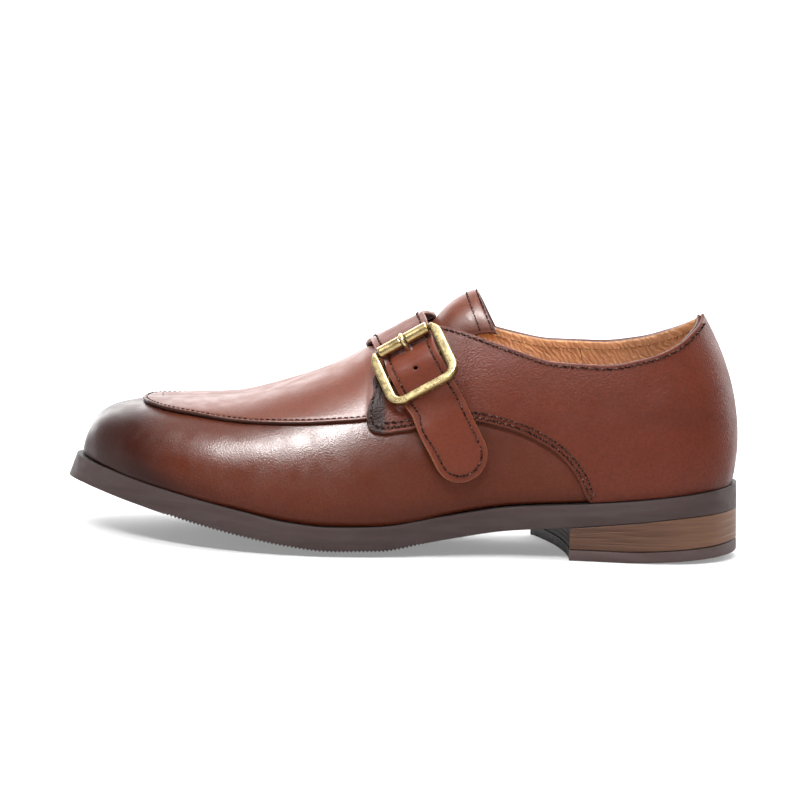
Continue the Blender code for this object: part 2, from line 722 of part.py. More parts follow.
def make_chape(material, collection):
    """Leather tab under the strap that carries the centre bar."""
    steps = 4
    rows = []
    for down, front, rear in CHAPE_ROWS:
        rows.append(straight_row(buckle_point(-CHAPE_HALF, down, front),
                                 buckle_point(CHAPE_HALF, down, rear), steps))
    for k in range(4):
        rows.append(side_row(LATERAL, TAIL_START, CHAPE_TAIL * k / 3, CHAPE_HALF, CHAPE_ABOVE,
                             steps, shift=-0.5 * k))
    return shell("buckle_chape", [rows[::-1]], CHAPE, material, collection)


def rounded_outline(width, low, high, corner, steps=5):
    """Rounded rectangle as a list of points, across and down."""
    points = []
    centres = ((1, high - corner, 0), (-1, high - corner, 1), (-1, low + corner, 2),
               (1, low + corner, 3))
    for side, down, quarter in centres:
        across = side * (width / 2 - corner)
        for k in range(steps + 1):
            angle = math.pi / 2 * (quarter + k / steps)
            points.append((across + corner * math.cos(angle), down + corner * math.sin(angle)))
    return points


def flat_curve(name, outlines, half_thickness, bevel, collection):
    """Filled flat outline in the buckle's plane, given thickness and worn edges."""
    data = bpy.data.curves.new(name, 'CURVE')
    data.dimensions = '2D'
    data.fill_mode = 'BOTH'
    data.extrude = (half_thickness - bevel) * MM
    data.bevel_depth = bevel * MM
    data.bevel_resolution = 1
    for outline in outlines:
        spline = data.splines.new('POLY')
        spline.points.add(len(outline) - 1)
        for point, (x, y) in zip(spline.points, outline):
            point.co = (x * MM, y * MM, 0.0, 1.0)
        spline.use_cyclic_u = True
    obj = bpy.data.objects.new(name, data)
    collection.objects.link(obj)
    obj.matrix_world = buckle_matrix()
    bpy.context.view_layer.update()
    return baked(obj)


def buckle_matrix(across=0.0, down=0.0, out=0.0):
    """Places a piece modelled with X across and Y down in the buckle's plane."""
    axes = Matrix((ACROSS, DOWN, -OUT)).transposed().to_4x4()
    return Matrix.Translation(buckle_point(across, down, out) * MM) @ axes


def bar_between(name, radius, length, down, out, collection, sides=16):
    """Round bar across the buckle."""
    bm = bmesh.new()
    bmesh.ops.create_cone(bm, cap_ends=True, segments=sides, radius1=radius, radius2=radius,
                          depth=length)
    bmesh.ops.rotate(bm, matrix=Matrix.Rotation(math.pi / 2, 3, 'Y'), verts=bm.verts)
    obj = add_object(name, bm, None, collection)
    obj.matrix_world = buckle_matrix(0.0, down, out)
    return as_cutter(obj)


def make_frame(material, collection, cutters):
    low, high, worn = FRAME_TOP, FRAME_TOP + FRAME_LENGTH, FRAME_WORN
    inside = FRAME_WIDTH - 2 * SIDE_BAR
    outer = rounded_outline(FRAME_WIDTH - 2 * worn, low + worn, high - worn, FRAME_CORNER)
    inner = rounded_outline(inside + 2 * worn, low + 1.8, high - LOWER_BAR + worn, 1.5)
    frame = flat_curve("buckle_frame", [outer, inner], FRAME_THICK / 2, worn, collection)
    bm = bmesh.new()
    bmesh.ops.create_cube(bm, size=1.0)
    bmesh.ops.scale(bm, vec=(inside, 8.0, 8.0), verts=bm.verts)
    notch = as_cutter(add_object("top_bar_cutter", bm, None, cutters))
    notch.matrix_world = buckle_matrix(0.0, 1.0, 0.0)
    bpy.context.view_layer.update()
    frame = join_or_cut(frame, notch, 'DIFFERENCE')
    span = FRAME_WIDTH - SIDE_BAR
    top = bar_between("top_bar", PIN_RADIUS, span, 0.0, 0.0, cutters)
    centre = bar_between("centre_bar", PIN_RADIUS, span, CENTRE_BAR, CENTRE_DROP, cutters)
    bpy.context.view_layer.update()
    frame = join_or_cut(frame, top, 'UNION')
    frame = join_or_cut(frame, centre, 'UNION')
    frame.data.materials.clear()
    frame.data.materials.append(material)
    return frame


def make_roller(name, across, material, collection):
    """Brass sleeve on the top bar, turned from a profile."""
    half = ROLLER_LENGTH / 2
    bm = bmesh.new()
    profile = [(ROLLER_RADIUS - 0.3, half), (ROLLER_RADIUS, half - 0.3),
               (ROLLER_RADIUS, 0.3 - half), (ROLLER_RADIUS - 0.3, -half),
               (ROLLER_BORE, -half), (ROLLER_BORE, half)]
    verts = [bm.verts.new((r, 0.0, h)) for r, h in profile]
    for a, b in zip(verts, verts[1:] + verts[:1]):
        bm.edges.new((a, b))
    obj = add_object(name, bm, material, collection)
    turned = obj.modifiers.new("turned", 'SCREW')
    turned.steps = 20
    turned.render_steps = 20
    turned.use_merge_vertices = True
    turned.merge_threshold = 0.00001
    stand = Matrix.Rotation(math.pi / 2, 4, 'Y')
    obj.matrix_world = buckle_matrix(across, 0.0, 0.0) @ stand
    return obj


def make_prong(material, collection):
    """Pin from the centre bar, up through the strap and over the top bar."""
    route = [(10.0, -1.3), (8.5, -1.9), (7.0, -2.6), (5.6, -3.1), (4.4, -2.7), (3.6, -1.3),
             (3.0, 0.4), (2.1, 1.8), (0.6, 2.6), (-1.0, 2.5), (-2.3, 1.6), (-2.8, 0.8)]
    data = bpy.data.curves.new("prong", 'CURVE')
    data.dimensions = '3D'
    data.bevel_depth = PRONG_RADIUS * MM
    data.bevel_resolution = 2
    data.use_fill_caps = True
    data.resolution_u = 3
    spline = data.splines.new('BEZIER')
    spline.bezier_points.add(len(route) - 1)
    for point, (down, out) in zip(spline.bezier_points, route):
        point.co = buckle_point(0.0, down, out) * MM
        point.handle_left_type = point.handle_right_type = 'AUTO'
    obj = bpy.data.objects.new("prong", data)
    collection.objects.link(obj)
    bpy.context.view_layer.update()
    obj = baked(obj)
    obj.data.materials.append(material)
    return obj


# ---------------------------------------------------------------- assembly

def main():
    for obj in list(bpy.data.objects):
        bpy.data.objects.remove(obj)
    parts = bpy.data.collections.new("monk_strap_loafer")
    cutters = bpy.data.collections.new("cutters")
    bpy.context.scene.collection.children.link(parts)
    bpy.context.scene.collection.children.link(cutters)

    rubber = finish("sole_rubber", (0.105, 0.078, 0.075), 0.55)
    lift = finish("top_lift_rubber", (0.095, 0.070, 0.068), 0.6)
    wood = finish("stacked_heel", (0.17, 0.085, 0.05), 0.5)
    lining = finish("insole_leather", (0.50, 0.27, 0.13), 0.7)
    vamp = finish("vamp_leather", (0.19, 0.055, 0.028), 0.35)
    plug = finish("apron_leather", (0.20, 0.058, 0.03), 0.35)
    quarter = finish("quarter_leather", (0.18, 0.05, 0.03), 0.4)
    tab = finish("strap_leather", (0.21, 0.06, 0.03), 0.4)
    dark = finish("chape_leather", (0.05, 0.018, 0.014), 0.5)
    brass = finish("antique_brass", (0.62, 0.46, 0.20), 0.3, 1.0)

    breast = make_breast_cutter(cutters)
    make_outsole(rubber, parts)
    make_heel("heel_stack", lambda s: seam_height(s) + GAP / 2,
              lambda s: min(sole(s, "edge"), sole(s, "tread")) - GAP, breast, wood, parts)
    make_heel("top_lift", rocker, lambda s: seam_height(s) - GAP / 2, breast, lift, parts)
    make_insole(lining, parts)
    make_upper(vamp, parts)
    make_apron(plug, parts)
    make_quarter("quarter_lateral", LATERAL, quarter, parts)
    make_quarter("quarter_medial", MEDIAL, quarter, parts)
    make_tongue(plug, parts)
    make_strap(tab, parts, cutters)
    make_chape(dark, parts)
    make_frame(brass, parts, cutters)
    offset = (PRONG_GAP + ROLLER_LENGTH) / 2
    make_roller("roller_front", -offset, brass, parts)
    make_roller("roller_rear", offset, brass, parts)
    make_prong(brass, parts)
    for obj in parts.objects:
        obj.location.y += CENTRING * MM


main()
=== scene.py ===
"""Looks of the left monk-strap loafer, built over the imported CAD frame.

The last, the sole and the strap are the same smooth shapes as in the CAD, in millimetres and
before CENTRING; make_mesh() turns them into metres.  Distances "s" run from the heel's back.
"""

import math

import bmesh
import bpy
import numpy as np
from mathutils import Matrix, Vector, kdtree


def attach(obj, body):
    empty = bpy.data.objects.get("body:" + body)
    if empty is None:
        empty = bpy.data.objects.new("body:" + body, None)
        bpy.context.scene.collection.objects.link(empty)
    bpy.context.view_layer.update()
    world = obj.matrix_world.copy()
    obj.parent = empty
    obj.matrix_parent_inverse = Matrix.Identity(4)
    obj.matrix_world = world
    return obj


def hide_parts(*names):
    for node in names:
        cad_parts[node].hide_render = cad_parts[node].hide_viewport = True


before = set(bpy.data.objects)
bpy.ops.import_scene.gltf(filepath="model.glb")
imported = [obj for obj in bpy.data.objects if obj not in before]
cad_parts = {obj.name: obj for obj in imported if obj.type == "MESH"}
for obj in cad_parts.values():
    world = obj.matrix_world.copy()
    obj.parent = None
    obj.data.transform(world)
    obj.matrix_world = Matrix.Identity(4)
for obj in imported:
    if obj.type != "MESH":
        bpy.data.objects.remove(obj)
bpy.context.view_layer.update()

LENGTH = 262.0
HALF = LENGTH / 2
LAST_LENGTH = 256.8
CENTRING = 1.7  # moves the middle of the shoe's width to the middle of the frame
GAP = 0.3  # between neighbouring parts
LATERAL, MEDIAL = -1, 1
# how thick each layer is
WALL, QUARTER, APRON = 1.5, 1.2, 1.4
SOCK, TONGUE, STRAP, CHAPE = 2.6, 2.0, 1.8, 0.8
FACING_LIFT = 0.9  # by which the quarters' front ends stand higher, over the apron

# ---------------------------------------------------------------- tables, in mm

SOLE_COLUMNS = ("lateral", "medial", "top", "edge", "tread", "lean")
SOLE = [
    (0.0, 0.0, 0.0, 29.3, 19.6, 19.6, 0.0),
    (4.0, -13.5, 13.5, 28.9, 19.3, 19.3, 0.0),
    (12.0, -22.5, 22.0, 28.0, 18.8, 18.8, 0.0),
    (25.0, -28.6, 28.0, 26.2, 17.6, 17.6, 0.0),
    (42.0, -30.7, 29.8, 24.0, 15.4, 15.4, 0.0),
    (65.0, -30.2, 28.2, 21.7, 12.7, 12.7, 0.0),
    (90.0, -30.6, 24.6, 19.7, 10.5, 10.2, 0.0),
    (115.0, -35.5, 24.4, 15.8, 6.6, 5.4, 0.0),
    (140.0, -42.5, 30.5, 11.8, 2.3, 0.0, 0.0),
    (158.0, -46.0, 37.0, 11.4, 1.9, 0.0, 0.0),
    (175.0, -47.0, 41.6, 12.8, 3.6, 1.9, 0.3),
    (192.0, -45.6, 43.6, 15.9, 6.4, 5.0, 0.9),
    (208.0, -41.6, 43.2, 18.7, 9.4, 8.4, 1.5),
    (223.0, -34.4, 40.2, 21.2, 12.3, 11.5, 2.0),
    (237.0, -25.0, 34.8, 23.6, 14.9, 14.3, 2.4),
    (249.0, -14.4, 29.2, 25.8, 17.2, 16.8, 2.7),
    (257.0, -5.2, 23.6, 27.3, 18.7, 18.4, 2.8),
    (262.0, 9.5, 9.5, 28.1, 19.5, 19.4, 2.8),
]
# One row a station of the last: rise and drop, then for the lateral and the medial side
# feather, out, top_y, top_z and inward.
LAST_COLUMNS = ("rise", "drop", "feather", "out", "top_y", "top_z", "inward")
LAST_ROWS = [
    (0.0, 21.5, 21.5, 0.0, 0.0, 0.0, 94.6, 0.0, 0.0, 0.0, 0.0, 94.6, 0.0),
    (5.0, 20.0, 20.0, -16.5, 2.0, -10.5, 89.0, 2.8, 16.2, 2.0, 10.2, 90.4, 2.8),
    (15.0, 18.0, 18.0, -23.8, 2.6, -17.8, 83.0, 3.6, 23.2, 2.6, 17.2, 86.2, 3.6),
    (30.0, 17.0, 16.0, -28.0, 2.8, -22.6, 78.2, 4.2, 27.0, 2.6, 21.6, 82.0, 4.0),
    (50.0, 16.0, 15.0, -28.9, 2.8, -24.8, 75.1, 4.6, 27.5, 2.4, 23.4, 79.6, 4.0),
    (70.0, 16.0, 16.0, -28.9, 3.2, -24.8, 75.6, 5.2, 26.2, 2.6, 23.4, 79.6, 4.0),
    (90.0, 18.0, 17.0, -29.6, 4.0, -23.4, 80.2, 7.2, 23.6, 3.4, 21.8, 82.6, 5.5),
    (104.0, 22.0, 16.0, -32.4, 4.6, -21.0, 84.2, 8.6, 22.8, 4.4, 20.0, 86.0, 6.6),
    (110.0, 24.0, 14.0, -33.8, 4.7, -19.6, 85.6, 10.0, 23.0, 5.0, 18.8, 87.0, 8.0),
    (116.0, 26.0, 10.5, -35.2, 4.8, -17.0, 86.0, 12.5, 23.6, 5.6, 16.4, 86.4, 10.0),
    (122.5, 29.0, 6.0, -37.0, 4.8, -10.5, 85.4, 17.0, 25.0, 6.0, 11.0, 85.4, 13.0),
    (127.0, 31.5, 0.6, -38.2, 4.8, 1.0, 85.0, 25.0, 26.0, 6.2, 1.0, 85.0, 23.2),
    (140.0, 34.5, -0.2, -41.4, 4.7, 2.2, 77.3, 27.0, 29.6, 6.4, 2.2, 77.3, 21.6),
    (155.0, 35.5, -0.8, -44.0, 4.5, 3.4, 67.9, 31.0, 34.8, 6.0, 3.4, 67.9, 24.5),
    (175.0, 33.0, -1.2, -45.2, 4.0, 5.0, 59.3, 35.0, 39.8, 5.0, 5.0, 59.3, 27.5),
    (200.0, 27.0, -1.4, -42.6, 3.4, 7.0, 52.0, 33.5, 41.6, 3.8, 7.0, 52.0, 28.0),
    (220.0, 23.0, -1.6, -34.6, 3.4, 8.4, 50.4, 30.0, 39.0, 3.4, 8.4, 50.4, 25.5),
    (235.0, 19.0, -1.4, -24.8, 3.0, 9.0, 49.4, 24.0, 33.2, 3.0, 9.0, 49.4, 20.5),
    (244.0, 15.0, -0.8, -15.9, 2.4, 9.3, 47.6, 18.5, 27.9, 2.4, 9.3, 47.6, 15.5),
    (250.0, 11.0, -0.2, -8.6, 1.8, 9.4, 44.4, 14.0, 23.2, 1.8, 9.4, 44.4, 12.0),
    (254.0, 7.0, 0.3, -1.2, 1.2, 9.5, 38.6, 8.5, 18.4, 1.2, 9.5, 38.6, 7.5),
    (256.8, 0.0, 0.0, 9.5, 0.0, 9.5, 28.2, 0.0, 9.5, 0.0, 9.5, 28.2, 0.0),
]
BACK_CURVE = (3.1, -0.7, 4.1, 17.9)  # how far the back leans forward, from feather to collar
APRON_SEAM = [
    # station, lateral, medial: where the plug's seam lies, 0 at the feather line, 1 at the ridge
    (138.0, 0.425, 0.44), (146.0, 0.43, 0.45), (157.0, 0.447, 0.48), (170.0, 0.47, 0.51),
    (186.0, 0.506, 0.55), (198.0, 0.553, 0.60), (211.0, 0.61, 0.66), (219.0, 0.65, 0.70),
    (225.0, 0.70, 0.75), (229.5, 0.77, 0.81), (232.5, 0.86, 0.88), (234.0, 0.985, 0.985),
]
QUARTER_EDGE = [
    # station, low: where the quarters end
    (58.4, 0.0), (60.2, 0.037), (63.6, 0.172), (67.9, 0.284), (72.7, 0.371), (79.5, 0.434),
    (86.1, 0.470), (93.0, 0.487), (100.0, 0.489), (108.0, 0.472), (118.0, 0.415),
    (126.0, 0.364), (131.0, 0.353), (138.0, 0.354), (142.5, 0.366), (144.8, 0.388),
    (145.8, 0.425),
]
TONGUE_ROWS = [
    # s, ridge_y, ridge_z, half, drop, sweep
    (147.0, 1.5, 69.2, 15.0, 5.5, 0.0), (138.0, 0.2, 74.8, 14.5, 6.5, 0.5),
    (131.0, -0.2, 79.3, 14.5, 8.2, 1.0), (126.5, 0.1, 82.0, 14.2, 10.6, 1.6),
    (123.5, 0.6, 84.7, 14.0, 12.0, 2.2), (119.5, 0.1, 90.1, 14.4, 12.7, 3.2),
    (115.0, 0.2, 94.7, 15.4, 13.4, 4.5), (110.5, 0.1, 97.6, 16.0, 14.0, 6.0),
    (106.8, 0.0, 99.3, 16.2, 15.0, 7.0), (104.8, 0.0, 99.0, 16.3, 15.0, 7.4),
]
CROSS_ROWS = [
    # strap over the instep: front_s, front_y, front_z, rear_s, rear_y, rear_z
    (147.6, 18.2, 72.9, 121.4, 18.6, 87.3),
    (148.2, 12.6, 75.3, 122.0, 12.6, 89.0),
    (148.0, 6.8, 76.6, 122.4, 6.8, 89.5),
    (147.2, 1.4, 78.2, 124.0, 1.2, 90.5),
    (146.2, -3.6, 79.0, 126.2, -4.0, 90.9),
    (145.1, -10.4, 77.9, 125.4, -10.4, 89.6),
    (143.4, -16.4, 76.1, 124.5, -16.4, 87.6),
]
BUCKLE_ROWS = [
    # strap inside the buckle: down, height of the front edge, height of the rear edge
    (0.0, -2.85, -2.85), (3.0, -1.8, -1.8), (6.0, 0.3, 0.3), (9.0, 1.7, 1.7),
    (11.8, 2.15, 2.15), (15.0, 1.3, 1.1), (18.5, -0.7, -1.2), (21.2, -1.95, -2.7),
    (23.6, -2.0, -3.4),
]
CHAPE_ROWS = [(13.4, -0.9, -0.9), (16.0, -1.7, -1.9), (18.5, -3.05, -3.5), (21.2, -4.15, -4.9)]
STRAP_HALF, CHAPE_HALF = 10.4, 9.6
TAIL_START = (120.4, 57.4)  # s and z of the tail where it leaves the buckle
TAIL_WAY = (-0.498, -0.866)
TAIL_LENGTH = 20.2
INNER_ROWS = [
    # strap sewn to the inner quarter: front_s, front_z, rear_s, rear_z, above the quarter
    (143.0, 54.0, 118.5, 68.5, 2.3),
    (144.6, 58.2, 119.2, 72.4, 2.5),
    (146.0, 62.2, 119.9, 76.4, 2.8),
    (147.0, 66.2, 120.5, 80.4, 3.3),
]

# The buckle's own axes start at the middle of its upper bar.
BUCKLE_AT = np.array((-2.2, -24.1, 81.0))
ACROSS = np.array((0.847, -0.04, 0.52))
ACROSS = ACROSS / np.linalg.norm(ACROSS)
OUT = np.cross((0.385, -0.63, -0.67), ACROSS)
OUT = OUT / np.linalg.norm(OUT)
DOWN = np.cross(ACROSS, OUT)
FRAME_WIDTH, FRAME_HIGH = 29.8, 25.2
SIDE_BAR, LOWER_BAR = 3.5, 2.9
FRAME_CORNER, INNER_CORNER = 6.5, 2.6


# ---------------------------------------------------------------- smooth shapes

SETTLING_ROUNDS, SEARCH_ROUNDS, HALVINGS = 4, 6, 16


def cubic(t, width, first, second, first_slope, second_slope):
    """Between two values, with a slope at each end; t runs from 0 to 1."""
    rise = 3 * t ** 2 - 2 * t ** 3
    start, end = t ** 3 - 2 * t ** 2 + t, t ** 3 - t ** 2
    return (first * (1 - rise) + second * rise
            + width * (start * first_slope + end * second_slope))


class Curve:
    """Smooth curve through points that never overshoots them."""

    def __init__(self, xs, ys):
        self.xs, self.ys = np.array(xs, float), np.array(ys, float)
        widths = np.diff(self.xs)
        slopes = np.diff(self.ys) / widths
        self.slopes = np.zeros(len(self.xs))
        self.slopes[0], self.slopes[-1] = slopes[0], slopes[-1]
        for k in range(1, len(self.xs) - 1):
            before, after = slopes[k - 1], slopes[k]
            if before * after > 0.0:
                wa = 2 * widths[k] + widths[k - 1]
                wb = widths[k] + 2 * widths[k - 1]
                self.slopes[k] = (wa + wb) / (wa / before + wb / after)

    def __call__(self, x):
        x = np.clip(x, self.xs[0], self.xs[-1])
        i = np.clip(np.searchsorted(self.xs, x, side="right") - 1, 0, len(self.xs) - 2)
        width = self.xs[i + 1] - self.xs[i]
        return cubic((x - self.xs[i]) / width, width, self.ys[i], self.ys[i + 1],
                     self.slopes[i], self.slopes[i + 1])


def turn(s, length):
    """Place along the shoe as half a turn, so that its round ends get smooth curves."""
    return np.arccos(np.clip(1.0 - 2.0 * np.asarray(s, float) / length, -1.0, 1.0)) / math.pi


def curves(table, names, length):
    """One curve for each named column of a table, whose first column is the place."""
    places = turn([row[0] for row in table], length)
    return {name: Curve(places, [row[k + 1] for row in table]) for k, name in enumerate(names)}


SOLE_CURVES = curves(SOLE, SOLE_COLUMNS, LENGTH)
LAST = {side: curves([row[:3] + row[at:at + 5] for row in LAST_ROWS], LAST_COLUMNS, LAST_LENGTH)
        for side, at in ((LATERAL, 3), (MEDIAL, 8))}
SEAM = curves(APRON_SEAM, (LATERAL, MEDIAL), LAST_LENGTH)
QUARTER_LOW = curves(QUARTER_EDGE, ("low",), LAST_LENGTH)["low"]


def stations(first, final, count, length=LAST_LENGTH):
    """Places along the shoe, closer together at its round ends."""
    turns = np.linspace(turn(first, length), turn(final, length), count)
    return length * (1.0 - np.cos(math.pi * turns)) / 2


def smooth_step(value):
    t = np.clip(value, 0.0, 1.0)
    return t * t * (3.0 - 2.0 * t)


def bell(value, at, width):
    return np.exp(-((value - at) / width) ** 2)


def bezier(points, t):
    a, b, c, d = points
    m = 1.0 - t
    return a * m ** 3 + 3 * b * m * m * t + 3 * c * m * t * t + d * t ** 3


def sole(s, name):
    return SOLE_CURVES[name](turn(s, LENGTH))


def deck(s):
    """Height of the sole's top; its toe edge leans back."""
    place = s
    for _ in range(SETTLING_ROUNDS):
        place = np.minimum(s + sole(place, "lean"), LENGTH)
    return sole(place, "top")


def last(side, station, height, lift=0.0):
    """Points on the last: height 0 is the feather line, 1 the collar or the ridge."""
    station, height = np.broadcast_arrays(np.asarray(station, float), np.asarray(height, float))
    place = turn(station, LAST_LENGTH)
    row = {name: curve(place) for name, curve in LAST[side].items()}
    fade = (1.0 - station / LAST_LENGTH) ** 4
    base = deck(station + BACK_CURVE[0] * fade) + GAP
    y = bezier((row["feather"], row["feather"] + side * row["out"],
                row["top_y"] + side * row["inward"], row["top_y"]), height)
    z = bezier((base, base + row["rise"], row["top_z"] - row["drop"], row["top_z"]), height)
    s = station + bezier(BACK_CURVE, height) * fade
    points = np.stack((HALF - s, y, z), axis=-1)
    if np.any(lift):
        points = points + np.asarray(lift)[..., None] * last_normal(side, station, height)
    return points


def unit(vectors):
    length = np.linalg.norm(vectors, axis=-1, keepdims=True)
    return vectors / np.maximum(length, 1e-9)


def last_normal(side, station, height):
    """Outward normals of the last, from short steps to both sides of each point."""
    along_step, up_step = 0.4, 0.004
    low, high = np.maximum(station - along_step, 0.0), np.minimum(station + along_step, LAST_LENGTH)
    under, over = np.maximum(height - up_step, 0.0), np.minimum(height + up_step, 1.0)
    along = last(side, high, height) - last(side, low, height)
    up = last(side, station, over) - last(side, station, under)
    normal = np.cross(along, up) * side
    flat = np.linalg.norm(normal, axis=-1) < 1e-6
    normal[flat] = np.where((station < HALF)[flat][:, None], (1.0, 0.0, 0.0), (-1.0, 0.0, 0.0))
    return unit(normal)


def tuck(station):
    """How far the upper sits below the last's face, to make room for the quarters."""
    return (QUARTER + GAP) * (1.0 - smooth_step((station - 104.0) / 22.0))


def over_quarter(station, height):
    """Height of the quarters' outer face above the last."""
    facing = smooth_step((station - 136.0) / 8.0) * smooth_step((height - 0.40) / 0.08)
    return GAP + 0.08 + QUARTER + FACING_LIFT * facing - tuck(station)


def over_leather(side, s, z, above):
    """Points at a height above the quarters, found by s and z as seen from the side."""
    s, z = np.broadcast_arrays(np.asarray(s, float), np.asarray(z, float))
    station = s.copy()
    for _ in range(SEARCH_ROUNDS):
        low, high = np.zeros_like(s), np.ones_like(s)
        for _ in range(HALVINGS):
            height = (low + high) / 2
            under = last(side, station, height)[..., 2] < z
            low = np.where(under, height, low)
            high = np.where(under, high, height)
        station = station + s - (HALF - last(side, station, height)[..., 0])
    return last(side, station, height, over_quarter(station, height) + above)


def buckle_point(across, down, out):
    across, down, out = np.broadcast_arrays(np.asarray(across, float), down, out)
    return (BUCKLE_AT + across[..., None] * ACROSS + down[..., None] * DOWN
            + out[..., None] * OUT)


def spline(rows, places):
    """Rows of points at given shares (0 to 1) of the way through a list of rows."""
    rows = np.asarray(rows, float)
    steps = np.linalg.norm(np.diff(rows, axis=0), axis=-1)
    steps = steps.mean(axis=1) if steps.ndim == 2 else steps
    knots = np.concatenate(([0.0], np.cumsum(steps)))
    slopes = np.gradient(rows, knots, axis=0)
    x = np.asarray(places, float) * knots[-1]
    i = np.clip(np.searchsorted(knots, x, side="right") - 1, 0, len(knots) - 2)
    shape = (-1,) + (1,) * (rows.ndim - 1)
    width = (knots[i + 1] - knots[i]).reshape(shape)
    t = (x - knots[i]).reshape(shape) / width
    return cubic(t, width, rows[i], rows[i + 1], slopes[i], slopes[i + 1])


def path_lengths(path):
    """Distance along a path to each of its points."""
    return np.concatenate(([0.0], np.cumsum(np.linalg.norm(np.diff(path, axis=0), axis=1))))


def on_path(places, lengths, path):
    """Points at given distances along a path."""
    return np.stack([np.interp(places, lengths, path[:, k]) for k in range(3)], axis=-1)


def from_axis(points, height):
    """Vectors to points from the nearest spot of a level line along the shoe."""
    return points * (0.0, 1.0, 1.0) - (0.0, 0.0, height)


def spaced(length, step):
    """Shares of a length, close together near both ends, where edges are rounded."""
    fine = np.array((0.0, 0.08, 0.22, 0.45, 0.75, 1.15, 1.7, 2.4))
    margin = 3.2
    inner = np.linspace(margin, length - margin, max(int((length - 2 * margin) / step), 2))
    return np.concatenate((fine, inner, length - fine[::-1])) / length


# ---------------------------------------------------------------- meshes

MERGE_STEP = 0.004  # points closer than this are one


def make_mesh(name, points, faces, materials, attributes=None, face_materials=None):
    """Object from points in millimetres; every piece goes through here."""
    points = np.asarray(points, float) + (0.0, CENTRING, 0.0)
    mesh = bpy.data.meshes.new(name)
    mesh.from_pydata((points * 0.001).tolist(), [], [tuple(int(i) for i in f) for f in faces])
    for key, values in (attributes or {}).items():
        layer = mesh.attributes.new(key, 'FLOAT', 'POINT')
        layer.data.foreach_set("value", np.asarray(values, np.float32).ravel())
    for material in materials:
        mesh.materials.append(material)
    if face_materials is not None:
        mesh.polygons.foreach_set("material_index", np.asarray(face_materials, np.int32))
    mesh.shade_smooth()
    mesh.update()
    obj = bpy.data.objects.new(name, mesh)
    bpy.context.scene.collection.objects.link(obj)
    return obj


def placed(obj, slot, *nodes):
    """Put a piece on the shoe's one body and hide its CAD nodes; slot is not used."""
    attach(obj, "root")
    if nodes:
        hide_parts(*nodes)
    return obj


def grid_faces(rows, columns, start=0):
    k = np.arange(rows * columns).reshape(rows, columns) + start
    return np.stack((k[:-1, :-1], k[:-1, 1:], k[1:, 1:], k[1:, :-1]), axis=-1).reshape(-1, 4)


def ring_faces(rings, sides):
    """Faces between closed rings of points."""
    k = np.arange(rings * sides).reshape(rings, sides)
    after = np.roll(k, -1, axis=1)
    return np.stack((k[:-1], after[:-1], after[1:], k[1:]), axis=-1).reshape(-1, 4)


def capped_faces(rings, sides):
    """Faces between closed rings, with a flat face at each end."""
    end = (rings - 1) * sides
    return ring_faces(rings, sides).tolist() + [list(range(sides - 1, -1, -1)),
                                                list(range(end, end + sides))]


def merged(points, faces, values):
    """Merge points that lie on each other and drop faces that have collapsed."""
    keys = np.round(points / MERGE_STEP).astype(np.int64)
    _, first, back = np.unique(keys, axis=0, return_index=True, return_inverse=True)
    order = np.argsort(first)
    rank = np.empty_like(order)
    rank[order] = np.arange(len(order))
    back = rank[back.ravel()]
    first = first[order]
    kept = []
    for face in back[faces]:
        loop = [int(v) for k, v in enumerate(face) if v != face[k - 1]]
        if len(set(loop)) == len(loop) and len(loop) > 2:
            kept.append(loop)
    return points[first], kept, {key: value[first] for key, value in values.items()}


def round_drop(distance, radius):
    """How far a rounded edge lies below the flat at a distance from the border."""
    near = np.clip(distance / radius, 0.0, 1.0)
    return radius * (1.0 - np.sqrt(np.maximum(1.0 - (1.0 - near) ** 2, 0.0)))


def outward(points, faces, axis_z):
    """Vertex normals and faces, turned to look away from a level line along the shoe."""
    mesh = bpy.data.meshes.new("skin")
    mesh.from_pydata(points.tolist(), [], faces)
    mesh.update()
    normals = np.empty(len(points) * 3, np.float32)
    mesh.vertex_normals.foreach_get("vector", normals)
    normals = normals.reshape(-1, 3).astype(float)
    bpy.data.meshes.remove(mesh)
    if np.sum(np.sign(np.sum(normals * from_axis(points, axis_z), axis=1))) < 0:
        return -normals, [face[::-1] for face in faces]
    return normals, faces


def open_edges(faces):
    """Edges that only one face uses, in that face's direction."""
    used = dict.fromkeys(edge for face in faces for edge in zip(face, face[1:] + face[:1]))
    return [edge for edge in used if edge[::-1] not in used]


def distance_to(chosen, points):
    """Distance of every point to the nearest of the chosen ones."""
    tree = kdtree.KDTree(len(chosen))
    for k in chosen:
        tree.insert(points[k], k)
    tree.balance()
    return np.array([tree.find(point)[2] for point in points])


